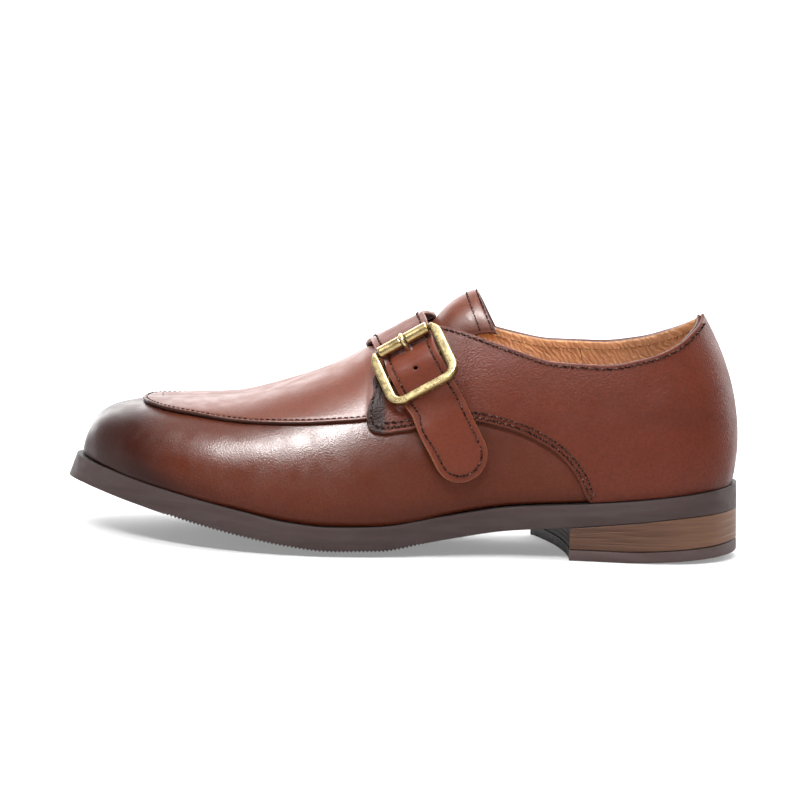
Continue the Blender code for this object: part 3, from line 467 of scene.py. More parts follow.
def leather_piece(name, grids, thickness, materials, roll=0.5, relief=None, under=None,
                  values=None, plain_edge=None, axis_z=38.0, wrap=0.0):
    """Leather sheet with rounded edges.

    grids are rows of points on its outer face.  relief and under move the outer and the inner
    face, and values hold numbers that they and the materials read.  plain_edge says which part
    of the border stays square.  A second material covers the inner face from wrap inwards.
    """
    starts = np.cumsum([0] + [grid[..., 0].size for grid in grids])
    points = np.concatenate([grid.reshape(-1, 3) for grid in grids])
    faces = np.concatenate([grid_faces(*grid.shape[:2], start)
                            for grid, start in zip(grids, starts)])
    values = {key: np.concatenate([np.ravel(v) for v in value])
              for key, value in (values or {}).items()}
    points, faces, values = merged(points, faces, values)
    values.setdefault("shade", np.zeros(len(points)))
    normals, faces = outward(points, faces, axis_z)
    border = open_edges(faces)
    ends = sorted({a for a, _ in border})
    if plain_edge is not None:
        ends = [a for a in ends if not plain_edge({k: v[a] for k, v in values.items()})]
    distance = distance_to(ends, points)
    inner_roll = min(roll, thickness - roll)
    outer = points - normals * round_drop(distance, roll)[:, None]
    inner = points - normals * (thickness - round_drop(distance, inner_roll))[:, None]
    if relief is not None:
        outer = outer + normals * relief(points, distance, values)[:, None]
    if under is not None:
        inner = inner - normals * under(points, distance, values)[:, None]
    count = len(points)
    solid = [list(f) for f in faces] + [[v + count for v in f[::-1]] for f in faces]
    solid += [[b, a, a + count, b + count] for a, b in border]
    second = 1 if len(materials) > 1 else 0
    wrapped = [second * (min(distance[v] for v in face) >= wrap) for face in faces]
    kinds = [0] * len(faces) + wrapped + [0] * len(border)
    attributes = {key: np.concatenate((v, v)) for key, v in values.items()}
    attributes["edge"] = np.concatenate((distance, distance))
    return make_mesh(name, np.concatenate((outer, inner)), solid, materials, attributes, kinds)


def tube(points, radii, sides, normals, flat=1.0):
    """Points and faces of a round tube with closed ends; flat squeezes it along normals."""
    way = unit(np.gradient(points, axis=0))
    side = unit(np.cross(way, normals))
    up = np.cross(side, way)
    angles = np.arange(sides) * 2 * math.pi / sides
    ring = (side[:, None] * np.cos(angles)[None, :, None]
            + up[:, None] * (np.sin(angles) * flat)[None, :, None])
    rings = points[:, None] + ring * np.broadcast_to(radii, len(points))[:, None, None]
    return rings.reshape(-1, 3), capped_faces(len(points), sides)


# One stitch from end to end: its rings along it, and each ring's rise, width and painted shade,
# dark at both ends where the stitch dives into its hole.
STITCH_SIDES = 6
STITCH_ALONG = np.array((-1.0, -0.72, -0.3, 0.3, 0.72, 1.0))
STITCH_RISE = np.array((-0.9, 0.15, 0.75, 0.75, 0.15, -0.9))
STITCH_WIDTH = np.array((0.55, 0.95, 1.0, 1.0, 0.95, 0.55))
STITCH_SHADE = (1.0, 0.7, 0.0, 0.0, 0.7, 1.0)
STITCHES = {
    # seam: pitch, length, radius, lift, skew
    "plug": (2.3, 1.7, 0.25, -0.1, 0.0),
    "quarter": (2.5, 2.3, 0.40, 0.02, 0.20),
    "collar": (2.4, 2.25, 0.40, 0.02, 0.25),
    "lining_top": (3.0, 1.9, 0.22, 0.0, 0.0),
    "lining_side": (2.6, 1.5, 0.24, 0.0, 0.0),
    "tongue": (2.3, 2.0, 0.32, -0.05, 0.0),
    "strap": (2.8, 2.4, 0.36, -0.04, 0.0),
    "strap_end": (2.8, 2.4, 0.36, 0.06, 0.0),
}


def joined(bodies):
    """Points and faces of many bodies as one."""
    faces, start = [], 0
    for points, body_faces in bodies:
        faces += [[v + start for v in face] for face in body_faces]
        start += len(points)
    return np.concatenate([points for points, _ in bodies]), faces


def stitching(name, bodies, material, slot):
    """One piece from many stitches, each painted dark as shade where it dives into the leather."""
    points, faces = joined(bodies)
    shade = np.tile(np.repeat(STITCH_SHADE, STITCH_SIDES), len(bodies))
    placed(make_mesh(name, points, faces, [material], {"shade": shade}), slot)


def stitch_row(path, normals, seam):
    """Bodies of a row of stitches that lie along a path on the leather."""
    pitch, length, radius, lift, skew = STITCHES[seam]
    normals = unit(normals)
    lengths = path_lengths(path)
    bodies = []
    for place in np.arange(pitch / 2, lengths[-1] - pitch / 2, pitch):
        spots = place + STITCH_ALONG * length / 2
        points = on_path(spots, lengths, path)
        normal = unit(on_path(spots, lengths, normals))
        side = unit(np.cross(points[-1] - points[0], normal[2]))
        points = points + side * (STITCH_ALONG * skew)[:, None]
        points = points + normal * (lift + STITCH_RISE * radius)[:, None]
        bodies.append(tube(points, radius * STITCH_WIDTH, STITCH_SIDES, normal, 0.9))
    return bodies


# ---------------------------------------------------------------- materials

class Nodes:
    """A Principled material and a short way to add nodes to it; scales are per metre."""

    def __init__(self, name, roughness=0.4, metallic=0.0, **settings):
        self.material = bpy.data.materials.new(name)
        self.material.use_nodes = True
        self.tree = self.material.node_tree
        self.shader = self.tree.nodes["Principled BSDF"]
        self.shader.inputs["Roughness"].default_value = roughness
        self.shader.inputs["Metallic"].default_value = metallic
        for key, value in settings.items():
            self.shader.inputs[key.replace("_", " ")].default_value = value
        self.place = self.add("ShaderNodeTexCoord").outputs["Object"]

    def add(self, kind, inputs=None, **settings):
        node = self.tree.nodes.new(kind)
        for key, value in settings.items():
            setattr(node, key, value)
        for key, value in (inputs or {}).items():
            if isinstance(value, bpy.types.NodeSocket):
                self.tree.links.new(value, node.inputs[key])
            else:
                node.inputs[key].default_value = value
        return node

    def stretched(self, x, y, z):
        return self.add("ShaderNodeMapping", {"Vector": self.place, "Scale": (x, y, z)}).outputs[0]

    def noise(self, scale, detail=3.0, roughness=0.5, vector=None):
        return self.add("ShaderNodeTexNoise", {"Vector": vector or self.place, "Scale": scale,
                                               "Detail": detail, "Roughness": roughness}
                        ).outputs["Fac"]

    def cells(self, scale):
        return self.add("ShaderNodeTexVoronoi", {"Vector": self.place, "Scale": scale},
                        feature='SMOOTH_F1').outputs["Distance"]

    def value(self, name):
        return self.add("ShaderNodeAttribute", attribute_name=name).outputs["Fac"]

    def span(self, value, low, high, first=0.0, second=1.0):
        return self.add("ShaderNodeMapRange", {"Value": value, "From Min": low, "From Max": high,
                                               "To Min": first, "To Max": second},
                        interpolation_type='SMOOTHSTEP').outputs["Result"]

    def math(self, a, b, operation='ADD'):
        return self.add("ShaderNodeMath", {0: a, 1: b}, operation=operation).outputs[0]

    def mix(self, factor, a, b):
        inputs = {0: factor}
        for key, color in ((6, a), (7, b)):
            inputs[key] = color if isinstance(color, bpy.types.NodeSocket) else (*color, 1.0)
        return self.add("ShaderNodeMix", inputs, data_type='RGBA').outputs[2]

    def along_shoe(self, low, high, most):
        """Rises from 0 to most between two places along X, in metres."""
        x = self.add("ShaderNodeSeparateXYZ", {0: self.place}).outputs[0]
        return self.span(x, low, high, 0.0, most)

    def finish(self, color, roughness=None):
        """The material, with its last color and roughness."""
        self.tree.links.new(color, self.shader.inputs["Base Color"])
        if roughness:
            self.tree.links.new(roughness, self.shader.inputs["Roughness"])
        return self.material

    def bump(self, height, distance, strength=1.0, normal=None):
        inputs = {"Height": height, "Distance": distance, "Strength": strength}
        if normal:
            inputs["Normal"] = normal
        output = self.add("ShaderNodeBump", inputs).outputs[0]
        self.tree.links.new(output, self.shader.inputs["Normal"])
        return output


CUT_EDGE = (0.035, 0.012, 0.008)
LEATHERS = {
    # name: base, burnish, pale, roughness, pores per metre, bump, mottle, cut edge, gloss
    "calf_vamp": ((0.082, 0.0175, 0.0072), (0.019, 0.0038, 0.0022), (0.106, 0.025, 0.0115),
                  0.36, 1900.0, 0.00008, 0.5, CUT_EDGE, 0.10),
    "calf_apron": ((0.122, 0.028, 0.013), (0.030, 0.010, 0.007), (0.145, 0.038, 0.019),
                   0.42, 1500.0, 0.00006, 0.5, CUT_EDGE, 0.10),
    "calf_quarter": ((0.100, 0.0190, 0.0088), (0.014, 0.0036, 0.0026), (0.122, 0.029, 0.0155),
                     0.42, 1500.0, 0.00020, 0.4, CUT_EDGE, 0.14),
    "calf_strap": ((0.118, 0.0235, 0.0105), (0.040, 0.009, 0.005), (0.140, 0.032, 0.015),
                   0.45, 1500.0, 0.00006, 0.35, (0.19, 0.066, 0.036), 0.18),
    "dark_calf": ((0.028, 0.008, 0.006), (0.010, 0.003, 0.0025), (0.040, 0.012, 0.008),
                  0.30, 1300.0, 0.00012, 0.5, CUT_EDGE, 0.20),
}


def leather(name):
    """Polished cowhide: mottled dye, burnish where shade says, dark painted cut edges."""
    base, dark, pale, roughness, grain, depth, mottle, cut, gloss = LEATHERS[name]
    n = Nodes(name, Specular_IOR_Level=gloss)
    cloud = n.span(n.noise(30.0, 3.0, 0.5), 0.25, 0.75)
    color = n.mix(n.math(cloud, mottle, 'MULTIPLY'), base, pale)
    streak = n.span(n.noise(9.0, 2.0, 0.4, n.stretched(1.0, 2.2, 4.5)), 0.4, 0.85, 0.0, 0.30)
    color = n.mix(streak, color, dark)
    fine = n.noise(grain * 0.55, 2.0, 0.6)
    color = n.mix(n.span(fine, 0.35, 0.7, 0.0, 0.22), color, dark)
    ragged = n.math(n.value("shade"), n.span(n.noise(60.0, 2.0, 0.4), 0.2, 0.8, -0.07, 0.07))
    color = n.mix(n.span(ragged, 0.05, 1.0), color, dark)
    color = n.mix(n.span(n.value("edge"), 0.275, 0.5, 1.0, 0.0), color, cut)
    creases = n.math(n.noise(500.0, 2.0), 0.12, 'MULTIPLY')
    pores = n.math(n.cells(grain), n.noise(grain * 1.2, 2.0, 0.6))
    n.bump(n.math(pores, creases), depth, 0.75)
    worn_and_sheen = n.span(n.noise(160.0, 3.0), 0.3, 0.7, roughness - 0.05, roughness + 0.07)
    return n.finish(color, worn_and_sheen)


def make_materials():
    m = {name: leather(name) for name in LEATHERS}
    m["flesh"] = flesh("leather_flesh", (0.16, 0.045, 0.026), (0.070, 0.020, 0.012))
    m["lining"] = flesh("tan_lining", (0.86, 0.44, 0.19), (0.52, 0.22, 0.08), 0.75)
    m["thread"] = thread("brown_thread", (0.013, 0.0055, 0.0045), (0.150, 0.075, 0.055))
    m["tan_thread"] = thread("tan_thread", (0.30, 0.15, 0.075), (0.42, 0.25, 0.14))
    m["rubber"] = rubber("sole_edge")
    m["lift"] = rubber("lift_edge", 1.6)
    m["wood"] = stacked_wood()
    m["brass"] = aged_brass()
    return m


def flesh(name, base, dark, roughness=0.8):
    """Napped inner side of the leather: fine wrinkles with painted shade in their troughs, and
    painted shade that makes it darker toward the heel.
    """
    n = Nodes(name, Sheen_Weight=0.1, Sheen_Roughness=0.4, Specular_IOR_Level=0.15)
    nap = n.noise(1900.0, 3.0, 0.7)
    color = n.mix(n.span(n.noise(60.0, 5.0, 0.6), 0.3, 0.75), base, dark)
    color = n.mix(n.span(nap, 0.35, 0.7, 0.0, 0.3), color, dark)
    color = n.mix(n.span(n.value("shade"), 0.0, 1.0), color, dark)
    # painted shade: the lining darkens toward the heel, deep inside the shoe
    color = n.mix(n.along_shoe(0.06, 0.10, 0.7), color, tuple(v * 0.5 for v in dark))
    wrinkle = n.add("ShaderNodeTexWave", {"Vector": n.place, "Scale": 270.0, "Distortion": 7.0,
                                          "Detail": 2.0}, bands_direction='DIAGONAL').outputs["Fac"]
    # painted shade in the troughs of the wrinkles
    color = n.mix(n.span(wrinkle, 0.0, 0.5, 0.25, 0.0), color, dark)
    folds = n.bump(wrinkle, 0.0005, 0.5)
    n.bump(n.math(nap, n.noise(420.0, 3.0)), 0.00009, 0.7, folds)
    return n.finish(color, n.span(nap, 0.2, 0.8, roughness - 0.08, roughness + 0.1))


def thread(name, base, pale):
    """Twisted thread with painted glints where the twist pales it, and painted shade, nearly black,
    where a stitch dives into the leather.
    """
    n = Nodes(name, 0.75, Specular_IOR_Level=0.05)
    twist_and_glint = n.noise(1300.0, 2.0)
    # the twist's paler patches are partly the thread's tone and partly painted glints
    color = n.mix(n.span(twist_and_glint, 0.46, 0.64), base, pale)
    # painted shade: the stitch ends go nearly black where they dive into their holes
    color = n.mix(n.value("shade"), color, (0.006, 0.003, 0.0025))
    n.bump(twist_and_glint, 0.00008, 0.8)
    return n.finish(color)


def rubber(name, paler=1.0):
    """Moulded sole: even brown-grey, with painted shade where shade says: under the tread and on
    the top beside the upper.
    """
    n = Nodes(name, 0.6, Specular_IOR_Level=0.15)
    base, pale, dark = (0.046, 0.030, 0.028), (0.053, 0.037, 0.035), (0.008, 0.006, 0.006)
    base, pale = (tuple(v * paler for v in color) for color in (base, pale))
    cloud = n.noise(60.0, 3.0, 0.5, n.stretched(1.0, 1.0, 4.0))
    color = n.mix(n.span(cloud, 0.3, 0.7), base, pale)
    smear = n.noise(30.0, 3.0, 0.5, n.stretched(0.6, 1.0, 12.0))
    color = n.mix(n.span(smear, 0.4, 0.85, 0.0, 0.25), color, dark)
    # painted shade: the sole's underside and its top beside the upper go dark
    color = n.mix(n.value("shade"), color, dark)
    lines = n.noise(40.0, 4.0, 0.6, n.stretched(1.0, 1.0, 60.0))
    n.bump(n.math(lines, n.noise(1500.0, 2.0)), 0.00004, 0.6)
    return n.finish(color, n.span(n.noise(220.0, 4.0), 0.3, 0.7, 0.52, 0.66))


def stacked_wood():
    """Level layers of brown wood look, paler toward the back of the heel."""
    n = Nodes("stacked_heel_wood", 0.5, Specular_IOR_Level=0.12)
    base, pale, dark = (0.050, 0.024, 0.017), (0.120, 0.062, 0.040), (0.022, 0.010, 0.008)
    fine = n.noise(40.0, 4.0, 0.7, n.stretched(0.7, 0.7, 60.0))
    broad = n.noise(14.0, 3.0, 0.5, n.stretched(0.6, 0.6, 14.0))
    color = n.mix(n.span(fine, 0.25, 0.75), base, pale)
    color = n.mix(n.span(broad, 0.5, 0.8, 0.0, 0.5), color, dark)
    color = n.mix(n.along_shoe(0.085, 0.125, 0.5), color, (0.190, 0.100, 0.062))
    color = n.mix(n.value("shade"), color, dark)
    n.bump(fine, 0.00003, 0.4)
    return n.finish(color, n.span(fine, 0.3, 0.7, 0.46, 0.58))


def aged_brass():
    """Antique brass: bright where its wear value is high, which is partly real wear and partly
    painted reflection; brown patina where it is below 0.
    """
    n = Nodes("aged_brass", 0.28, 1.0)
    bright, base, patina = (0.58, 0.46, 0.235), (0.34, 0.235, 0.100), (0.085, 0.055, 0.024)
    cloud = n.span(n.noise(170.0, 3.0, 0.5), 0.25, 0.75, -0.10, 0.10)
    worn_and_sheen = n.math(n.value("wear_and_sheen"), cloud)
    color = n.mix(n.span(worn_and_sheen, 0.15, 0.85), base, bright)
    color = n.mix(n.span(worn_and_sheen, -0.35, 0.1, 1.0, 0.0), color, patina)
    speck = n.span(n.noise(1500.0, 4.0, 0.6), 0.5, 0.8, 0.0, 0.30)
    color = n.mix(speck, color, patina)
    n.bump(n.noise(700.0, 3.0, 0.55), 0.00003, 0.5)
    return n.finish(color, n.span(n.noise(420.0, 4.0, 0.6), 0.3, 0.75, 0.24, 0.36))


# ---------------------------------------------------------------- sole and heel

HEEL_SLOPE, HEEL_ROCKER, ROCKER_START = 0.05, 2.6, 44.0
HEEL_SHARE = 0.997  # of the sole's width
BREAST_LATERAL, BREAST_SWEEP, BREAST_FROM, BREAST_WIDTH = 66.6, 13.4, -30.0, 57.0
LIFT_THICKNESS = 4.3
SOLE_STEP, STEP_IN = 0.42, 0.12
TREAD_FIRST, TREAD_LAST, TREAD_PITCH, TREAD_DEPTH, RIB_POINTS = 120.0, 223.0, 1.5, 0.55, 4


def back_lean(s, z):
    return HEEL_SLOPE * (z - HEEL_ROCKER) * (1.0 - smooth_step(s / 20.0))


def rocker(s):
    """Height of the heel's underside, bevelled at the back."""
    return HEEL_ROCKER * np.maximum(ROCKER_START - s, 0.0) ** 1.3 / ROCKER_START ** 1.3


def seam_height(s):
    """Where the lift meets the stacked block."""
    return LIFT_THICKNESS + rocker(s) * 1.25


def sole_halves(s):
    """Middle line and half width of the sole."""
    lateral, medial = sole(s, "lateral"), sole(s, "medial")
    return (lateral + medial) / 2, (medial - lateral) / 2


def make_outsole(m):
    """Sole unit: leaning edge with its step, and fine cross ribs under the forepart."""
    ribbed = np.arange(TREAD_FIRST, TREAD_LAST, TREAD_PITCH / RIB_POINTS)
    places = np.concatenate((stations(0.0, TREAD_FIRST - 0.5, 90, LENGTH), ribbed,
                             stations(TREAD_LAST, LENGTH, 80, LENGTH)))
    middle, half = sole_halves(places)
    top, edge, tread, lean = (sole(places, name) for name in SOLE_COLUMNS[2:])
    small = np.minimum(1.0, half / 12.0)
    step = top - SOLE_STEP * (top - edge)
    fade = smooth_step((places - TREAD_FIRST) / 6.0) * smooth_step((TREAD_LAST - places) / 5.0)
    low = np.arange(len(places)) % RIB_POINTS >= RIB_POINTS / 2
    notch = TREAD_DEPTH * low * fade
    # one side of the section, from the tread to the top: distance in, height, painted shade (dark
    # under the tread and on the top beside the upper)
    profile = [
        (half * 0.7, tread + notch * 0.6, 0.7), (half * 0.38, tread + notch, 0.7),
        (half * 0.18, tread + 0.5 * (edge - tread) + notch, 0.7),
        (1.3 * small, edge + notch, 0.7), (0.55 * small, edge + 0.1 + notch, 0.1),
        (0.14 * small, edge + 0.4 + notch * 0.9, 0.0), (0.0, edge + 0.95 + notch * 0.3, 0.0),
        (0.0, step - 0.3, 0.0), (0.6 * STEP_IN * small, step, 0.0),
        (STEP_IN * small, step + 0.15, 0.0), ((STEP_IN + 0.03) * small, (step + top) / 2, 0.0),
        ((STEP_IN + 0.05) * small, top - 0.4, 0.0), ((STEP_IN + 0.15) * small, top - 0.15, 0.1),
        ((STEP_IN + 0.4) * small, top, 0.85), (4.5 * small, top, 0.95),
    ]

    def place(y, z):
        share = (z - edge) / (top - edge)
        return np.stack((HALF - (places + back_lean(places, z) - lean * share), y, z), -1)

    outer = [place(middle - (half - inset), z) for inset, z, _ in profile]
    inner = [place(middle + (half - inset), z) for inset, z, _ in profile[::-1]]
    grid = np.stack(outer + inner + [outer[0]], axis=1)
    tones = [shade for _, _, shade in profile + profile[::-1] + profile[:1]]
    points, faces, values = merged(grid.reshape(-1, 3), grid_faces(*grid.shape[:2]),
                                   {"shade": np.tile(tones, len(places))})
    obj = make_mesh("outsole_unit", points, faces, [m["rubber"]], values)
    fix_normals(obj, 35.0)
    return placed(obj, "sole_rubber", "outsole")


def fix_normals(obj, angle):
    """Turn all faces outward, and shade edges sharper than an angle in degrees as corners."""
    bm = bmesh.new()
    bm.from_mesh(obj.data)
    bmesh.ops.recalc_face_normals(bm, faces=bm.faces)
    bm.to_mesh(obj.data)
    bm.free()
    obj.data.set_sharp_from_angle(angle=math.radians(angle))


def breast(y):
    """Place of the heel's front, which sweeps forward to the inner side."""
    return BREAST_LATERAL + BREAST_SWEEP * np.maximum((y - BREAST_FROM) / BREAST_WIDTH, 0.0) ** 2


def heel_side(side):
    """Plan of the heel's side as (s, y), from its back to the breast."""
    front = BREAST_LATERAL
    for _ in range(12):
        front = breast(sole(front, SOLE_COLUMNS[0 if side == LATERAL else 1]) * HEEL_SHARE)
    s = front * (1.0 - np.cos(np.linspace(0.0, math.pi / 2, 46)))
    middle, half = sole_halves(s)
    return np.stack((s, middle + side * half * HEEL_SHARE), -1)


def make_heel_layer(name, low, high, material, slot, node, layers, groove):
    """Heel layer between two heights; layers lists shares of its height and distances in."""
    lateral, medial = heel_side(LATERAL), heel_side(MEDIAL)
    ys = np.linspace(lateral[-1, 1], medial[-1, 1], 61)[1:-1]
    front = np.stack((breast(ys), ys), -1)
    plan = np.concatenate((lateral[1:], front, medial[::-1][:-1], medial[:1]))
    is_breast = np.repeat((0.0, 1.0, 0.0), (len(lateral) - 1, len(front), len(medial)))
    ahead = np.roll(plan, -1, axis=0) - np.roll(plan, 1, axis=0)
    inward = unit(np.stack((-ahead[:, 1], ahead[:, 0]), -1))
    inward *= np.sign(np.sum(inward * (plan.mean(axis=0) - plan), axis=1))[:, None]
    grooves = groove * np.abs(np.sin(np.arange(len(plan)) * 1.3)) * is_breast
    bottom, top = low(plan[:, 0]), high(plan[:, 0])
    rings = []
    for share, inset in layers:
        s, y = (plan + inward * (inset + grooves)[:, None]).T
        z = bottom + share * (top - bottom)
        rings.append(np.stack((HALF - (s + back_lean(s, z)), y, z), -1))
    obj = make_mesh(name, np.concatenate(rings), capped_faces(len(rings), len(plan)), [material],
                    {"shade": np.tile(is_breast * 0.95, len(rings))})
    fix_normals(obj, 35.0)
    return placed(obj, slot, node)


def make_heel(m):
    stacked = [(0.0, 0.45), (0.02, 0.1)]
    for k in range(4):
        a, b = k / 4, (k + 1) / 4
        stacked += [(a + 0.03, 0.0), ((a + b) / 2, 0.03), (b - 0.025, 0.0), (b - 0.008, 0.12)]
    stacked.append((1.0, 0.15))
    make_heel_layer("stacked_heel_block", lambda s: seam_height(s) + GAP / 2,
                    lambda s: np.minimum(sole(s, "edge"), sole(s, "tread")) - 0.05,
                    m["wood"], "stacked_heel", "heel_stack", stacked, 0.28)
    lift = [(0.0, 0.8), (0.03, 0.35), (0.10, 0.08), (0.2, 0.0), (0.85, 0.0), (0.95, 0.1),
            (1.0, 0.4)]
    make_heel_layer("heel_top_lift", rocker, lambda s: seam_height(s) - GAP / 2,
                    m["lift"], "top_lift_rubber", "top_lift", lift, 0.15)


# ---------------------------------------------------------------- upper

THROAT = 127.0  # where the collar ends and the two sides of the upper meet
LIP = 0.012  # share of the height that the quarters' rounded top takes
LIP_RISE, LIP_WIDTH, LIP_TURN_IN = 0.7, 0.8, 2.0
APRON_REAR, APRON_TIP, RIDGE_TIP = 139.0, 234.0, 226.0
PLUG_MARGIN = 1.45
QUARTER_REAR, QUARTER_FRONT = 58.4, 145.8
QUARTER_MARGINS = (1.6, 3.3)
COLLAR_END = {LATERAL: 126.0, MEDIAL: 120.5}
CREASES = [
    # folds over the heel: height, slope, sway, waves, phase, width, depth
    (68.0, -0.05, 0.9, 0.2, 0.0, 0.9, 1.0), (64.2, -0.02, 0.7, 0.26, 1.0, 0.8, 0.7),
    (75.5, 0.08, 1.0, 0.15, 0.0, 1.1, 0.5),
]
FACING = Curve((0.42, 0.46, 0.50, 0.54, 0.58, 0.62, 0.66, 0.71),
               (145.8, 145.7, 145.0, 143.7, 143.3, 143.6, 142.2, 138.5))
TONGUE_LENGTH, TONGUE_GIRTH = 56.0, 44.0
HEM, REAR_SEAM = 1.2, 5.6


def toe_burnish(station, height):
    """Dark polish: strong at the toe, round the feather line and at the heel's foot."""
    toe = smooth_step((station - 190.0) / 58.0)
    foot = (1.0 - smooth_step(height / 0.16)) * 0.40
    back = (1.0 - smooth_step(station / 22.0)) * 0.25
    return np.clip(0.92 * toe ** 1.3 + foot + back, 0.0, 1.0)


def both(values):
    """Rows of the lateral side, then of the medial side from its other end."""
    return [values, values[:, ::-1]]


def lining_wrinkles(points, distance, values):
    """A herringbone in front of the counter, and soft dents behind it."""
    s, z = values["st"], points[:, 2]
    front = smooth_step((s - 44.0) / 6.0) * (1.0 - smooth_step((s - 125.0) / 6.0))
    zig = np.abs(((z / 2.9) % 1.0) - 0.5) * 2.0
    ridge = np.sin((s * 1.35 + zig * 2.6) * 1.5 + np.sin(z * 0.7) * 0.8)
    dents = 0.18 * np.sin(s * 0.3 + z * 0.21) * np.sin(z * 0.11 + s * 0.05)
    wrinkles = front * (0.34 * ridge - 0.15) + (1.0 - front) * dents
    return wrinkles * smooth_step(distance / 2.0)


def make_upper(m):
    places = np.concatenate((stations(0.0, THROAT, 84)[:-1], stations(THROAT, LAST_LENGTH, 120)))
    heights = np.linspace(0.0, 1.0, 56) ** 0.96
    st, h = np.meshgrid(places, heights, indexing="ij")
    sides = {side: last(side, st, h, -tuck(st)) for side in (LATERAL, MEDIAL)}
    closed = places >= THROAT - 1e-6
    shared = (sides[LATERAL][closed, -1] + sides[MEDIAL][closed, -1]) / 2
    for side in sides.values():
        side[closed, -1] = shared

    def relief(points, distance, values):
        x, z = points[:, 0], points[:, 2]
        wave = 0.10 * np.sin(x * 0.11 + z * 0.05) * np.sin(z * 0.16 + 1.0)
        return wave * smooth_step(distance / 6.0) * smooth_step((values["st"] - 60) / 30)

    obj = leather_piece("vamp_and_lining", [sides[LATERAL], sides[MEDIAL][:, ::-1]], WALL,
                        [m["calf_vamp"], m["lining"]], 0.3, relief, lining_wrinkles,
                        {"shade": both(toe_burnish(st, h)), "st": both(st), "h": both(h)},
                        plain_edge=lambda v: v["h"] < 0.01)
    return placed(obj, "vamp_leather", "upper")


def make_insole(m):
    st = stations(2.0, LAST_LENGTH - 2.0, 120)
    inset = WALL + 0.6 + tuck(st)
    outer, inner = (last(side, st, 0.0, -inset) for side in (LATERAL, MEDIAL))
    rows = outer[:, None] + (inner - outer)[:, None] * spaced(50.0, 2.5)[None, :, None]
    rows[..., 2] = deck(HALF - rows[..., 0]) + GAP + SOCK
    obj = leather_piece("sock_lining", [rows], SOCK, [m["lining"]], 0.8, axis_z=-500.0,
                        values={"shade": [np.full(rows.shape[:2], 0.2)]})
    return placed(obj, "insole_leather", "insole")


def apron_rows(side):
    """Shares, stations and heights of rows from the plug's seam in to its middle line."""
    st = np.concatenate((
        (APRON_REAR, 139.5, 140.2), np.arange(141.0, 214.0, 1.1), np.arange(214.0, 227.9, 0.7),
        np.arange(228.0, 232.6, 0.3), np.linspace(232.7, 233.95, 12), (APRON_TIP,)))
    low = SEAM[side](turn(st, LAST_LENGTH))
    low[-1] = 1.0
    centre = APRON_REAR + (st - APRON_REAR) * (RIDGE_TIP - APRON_REAR) / (APRON_TIP - APRON_REAR)
    share = spaced(46.0, 1.5)
    share = np.unique(np.concatenate((share[share < 0.5], np.linspace(0.5, 1.0, 14))))
    return (share, st[:, None] + (centre - st)[:, None] * share,
            low[:, None] + (1.0 - low)[:, None] * share)


def plug_stitches(side, grid):
    """Stitches along the plug's seam, a margin in from its edge."""
    share, station, height = apron_rows(side)
    path, places, heights = [], [], []
    for row, row_station, row_height in zip(grid[:-1], station, height):
        reach = path_lengths(row)
        at = np.interp(PLUG_MARGIN, reach, share)
        path.append(on_path(PLUG_MARGIN, reach, row))
        places.append(np.interp(at, share, row_station))
        heights.append(np.interp(at, share, row_height))
    normals = last_normal(side, np.array(places), np.minimum(heights, 0.99))
    return stitch_row(np.array(path), normals, "plug")


def make_apron(m):
    """The raised plug, whose rear edge dips under the quarters, and its stitches."""
    grids, shades = {}, []
    for side in (LATERAL, MEDIAL):
        _, station, height = apron_rows(side)
        dip = 0.75 * (1.0 - smooth_step((station - 143.6) / 2.6))
        grids[side] = last(side, station, height, GAP + APRON + 0.1 - dip)
        shades.append(np.clip(0.55 * smooth_step((station - 196.0) / 42.0) ** 1.3, 0, 1))
    ridge = (grids[LATERAL][:, -1] + grids[MEDIAL][:, -1]) / 2
    tip = (grids[LATERAL][-1] + grids[MEDIAL][-1]) / 2
    for grid in grids.values():
        grid[:, -1] = ridge
        grid[-1] = tip
        grid[-1, -1] = ridge[-1]

    def relief(points, distance, values):
        """The stitched groove, and a low welt that the stitches raise outside it."""
        seam = 0.10 * bell(distance, 0.75, 0.4) - 0.16 * bell(distance, PLUG_MARGIN, 0.42)
        x, y = points[:, 0], points[:, 1]
        wave = 0.07 * np.sin(x * 0.13 + y * 0.07) * np.sin(y * 0.17 + 0.5)
        return seam + wave * smooth_step(distance / 8.0)

    obj = leather_piece("moccasin_plug", [grids[LATERAL], grids[MEDIAL][:, ::-1]], APRON,
                        [m["calf_apron"]], 0.55, relief,
                        values={"shade": [shades[0], shades[1][:, ::-1]]})
    placed(obj, "apron_leather", "apron")
    bodies = plug_stitches(LATERAL, grids[LATERAL]) + plug_stitches(MEDIAL, grids[MEDIAL])
    stitching("plug_stitching", bodies, m["thread"], "apron_leather")


def quarter_low(station):
    return np.where(station <= QUARTER_REAR, 0.0, QUARTER_LOW(turn(station, LAST_LENGTH)))


def quarter_high(station):
    return (1.0 - 0.08 * smooth_step((station - 118.0) / 8.0)
            - 0.22 * smooth_step((station - 121.0) / 8.0))


def quarter_at(side, station, height):
    """Points on the quarter's outer face, which never cross the middle of the heel's back."""
    points = last(side, station, height, over_quarter(station, height))
    points[..., 1] = side * np.maximum(side * points[..., 1], 0.12)
    return points


def front_cut(place, height):
    """The facing's front end leans back above its rounded lower corner."""
    return place - (QUARTER_FRONT - FACING(height)) * smooth_step((place - 124.0) / 21.8)


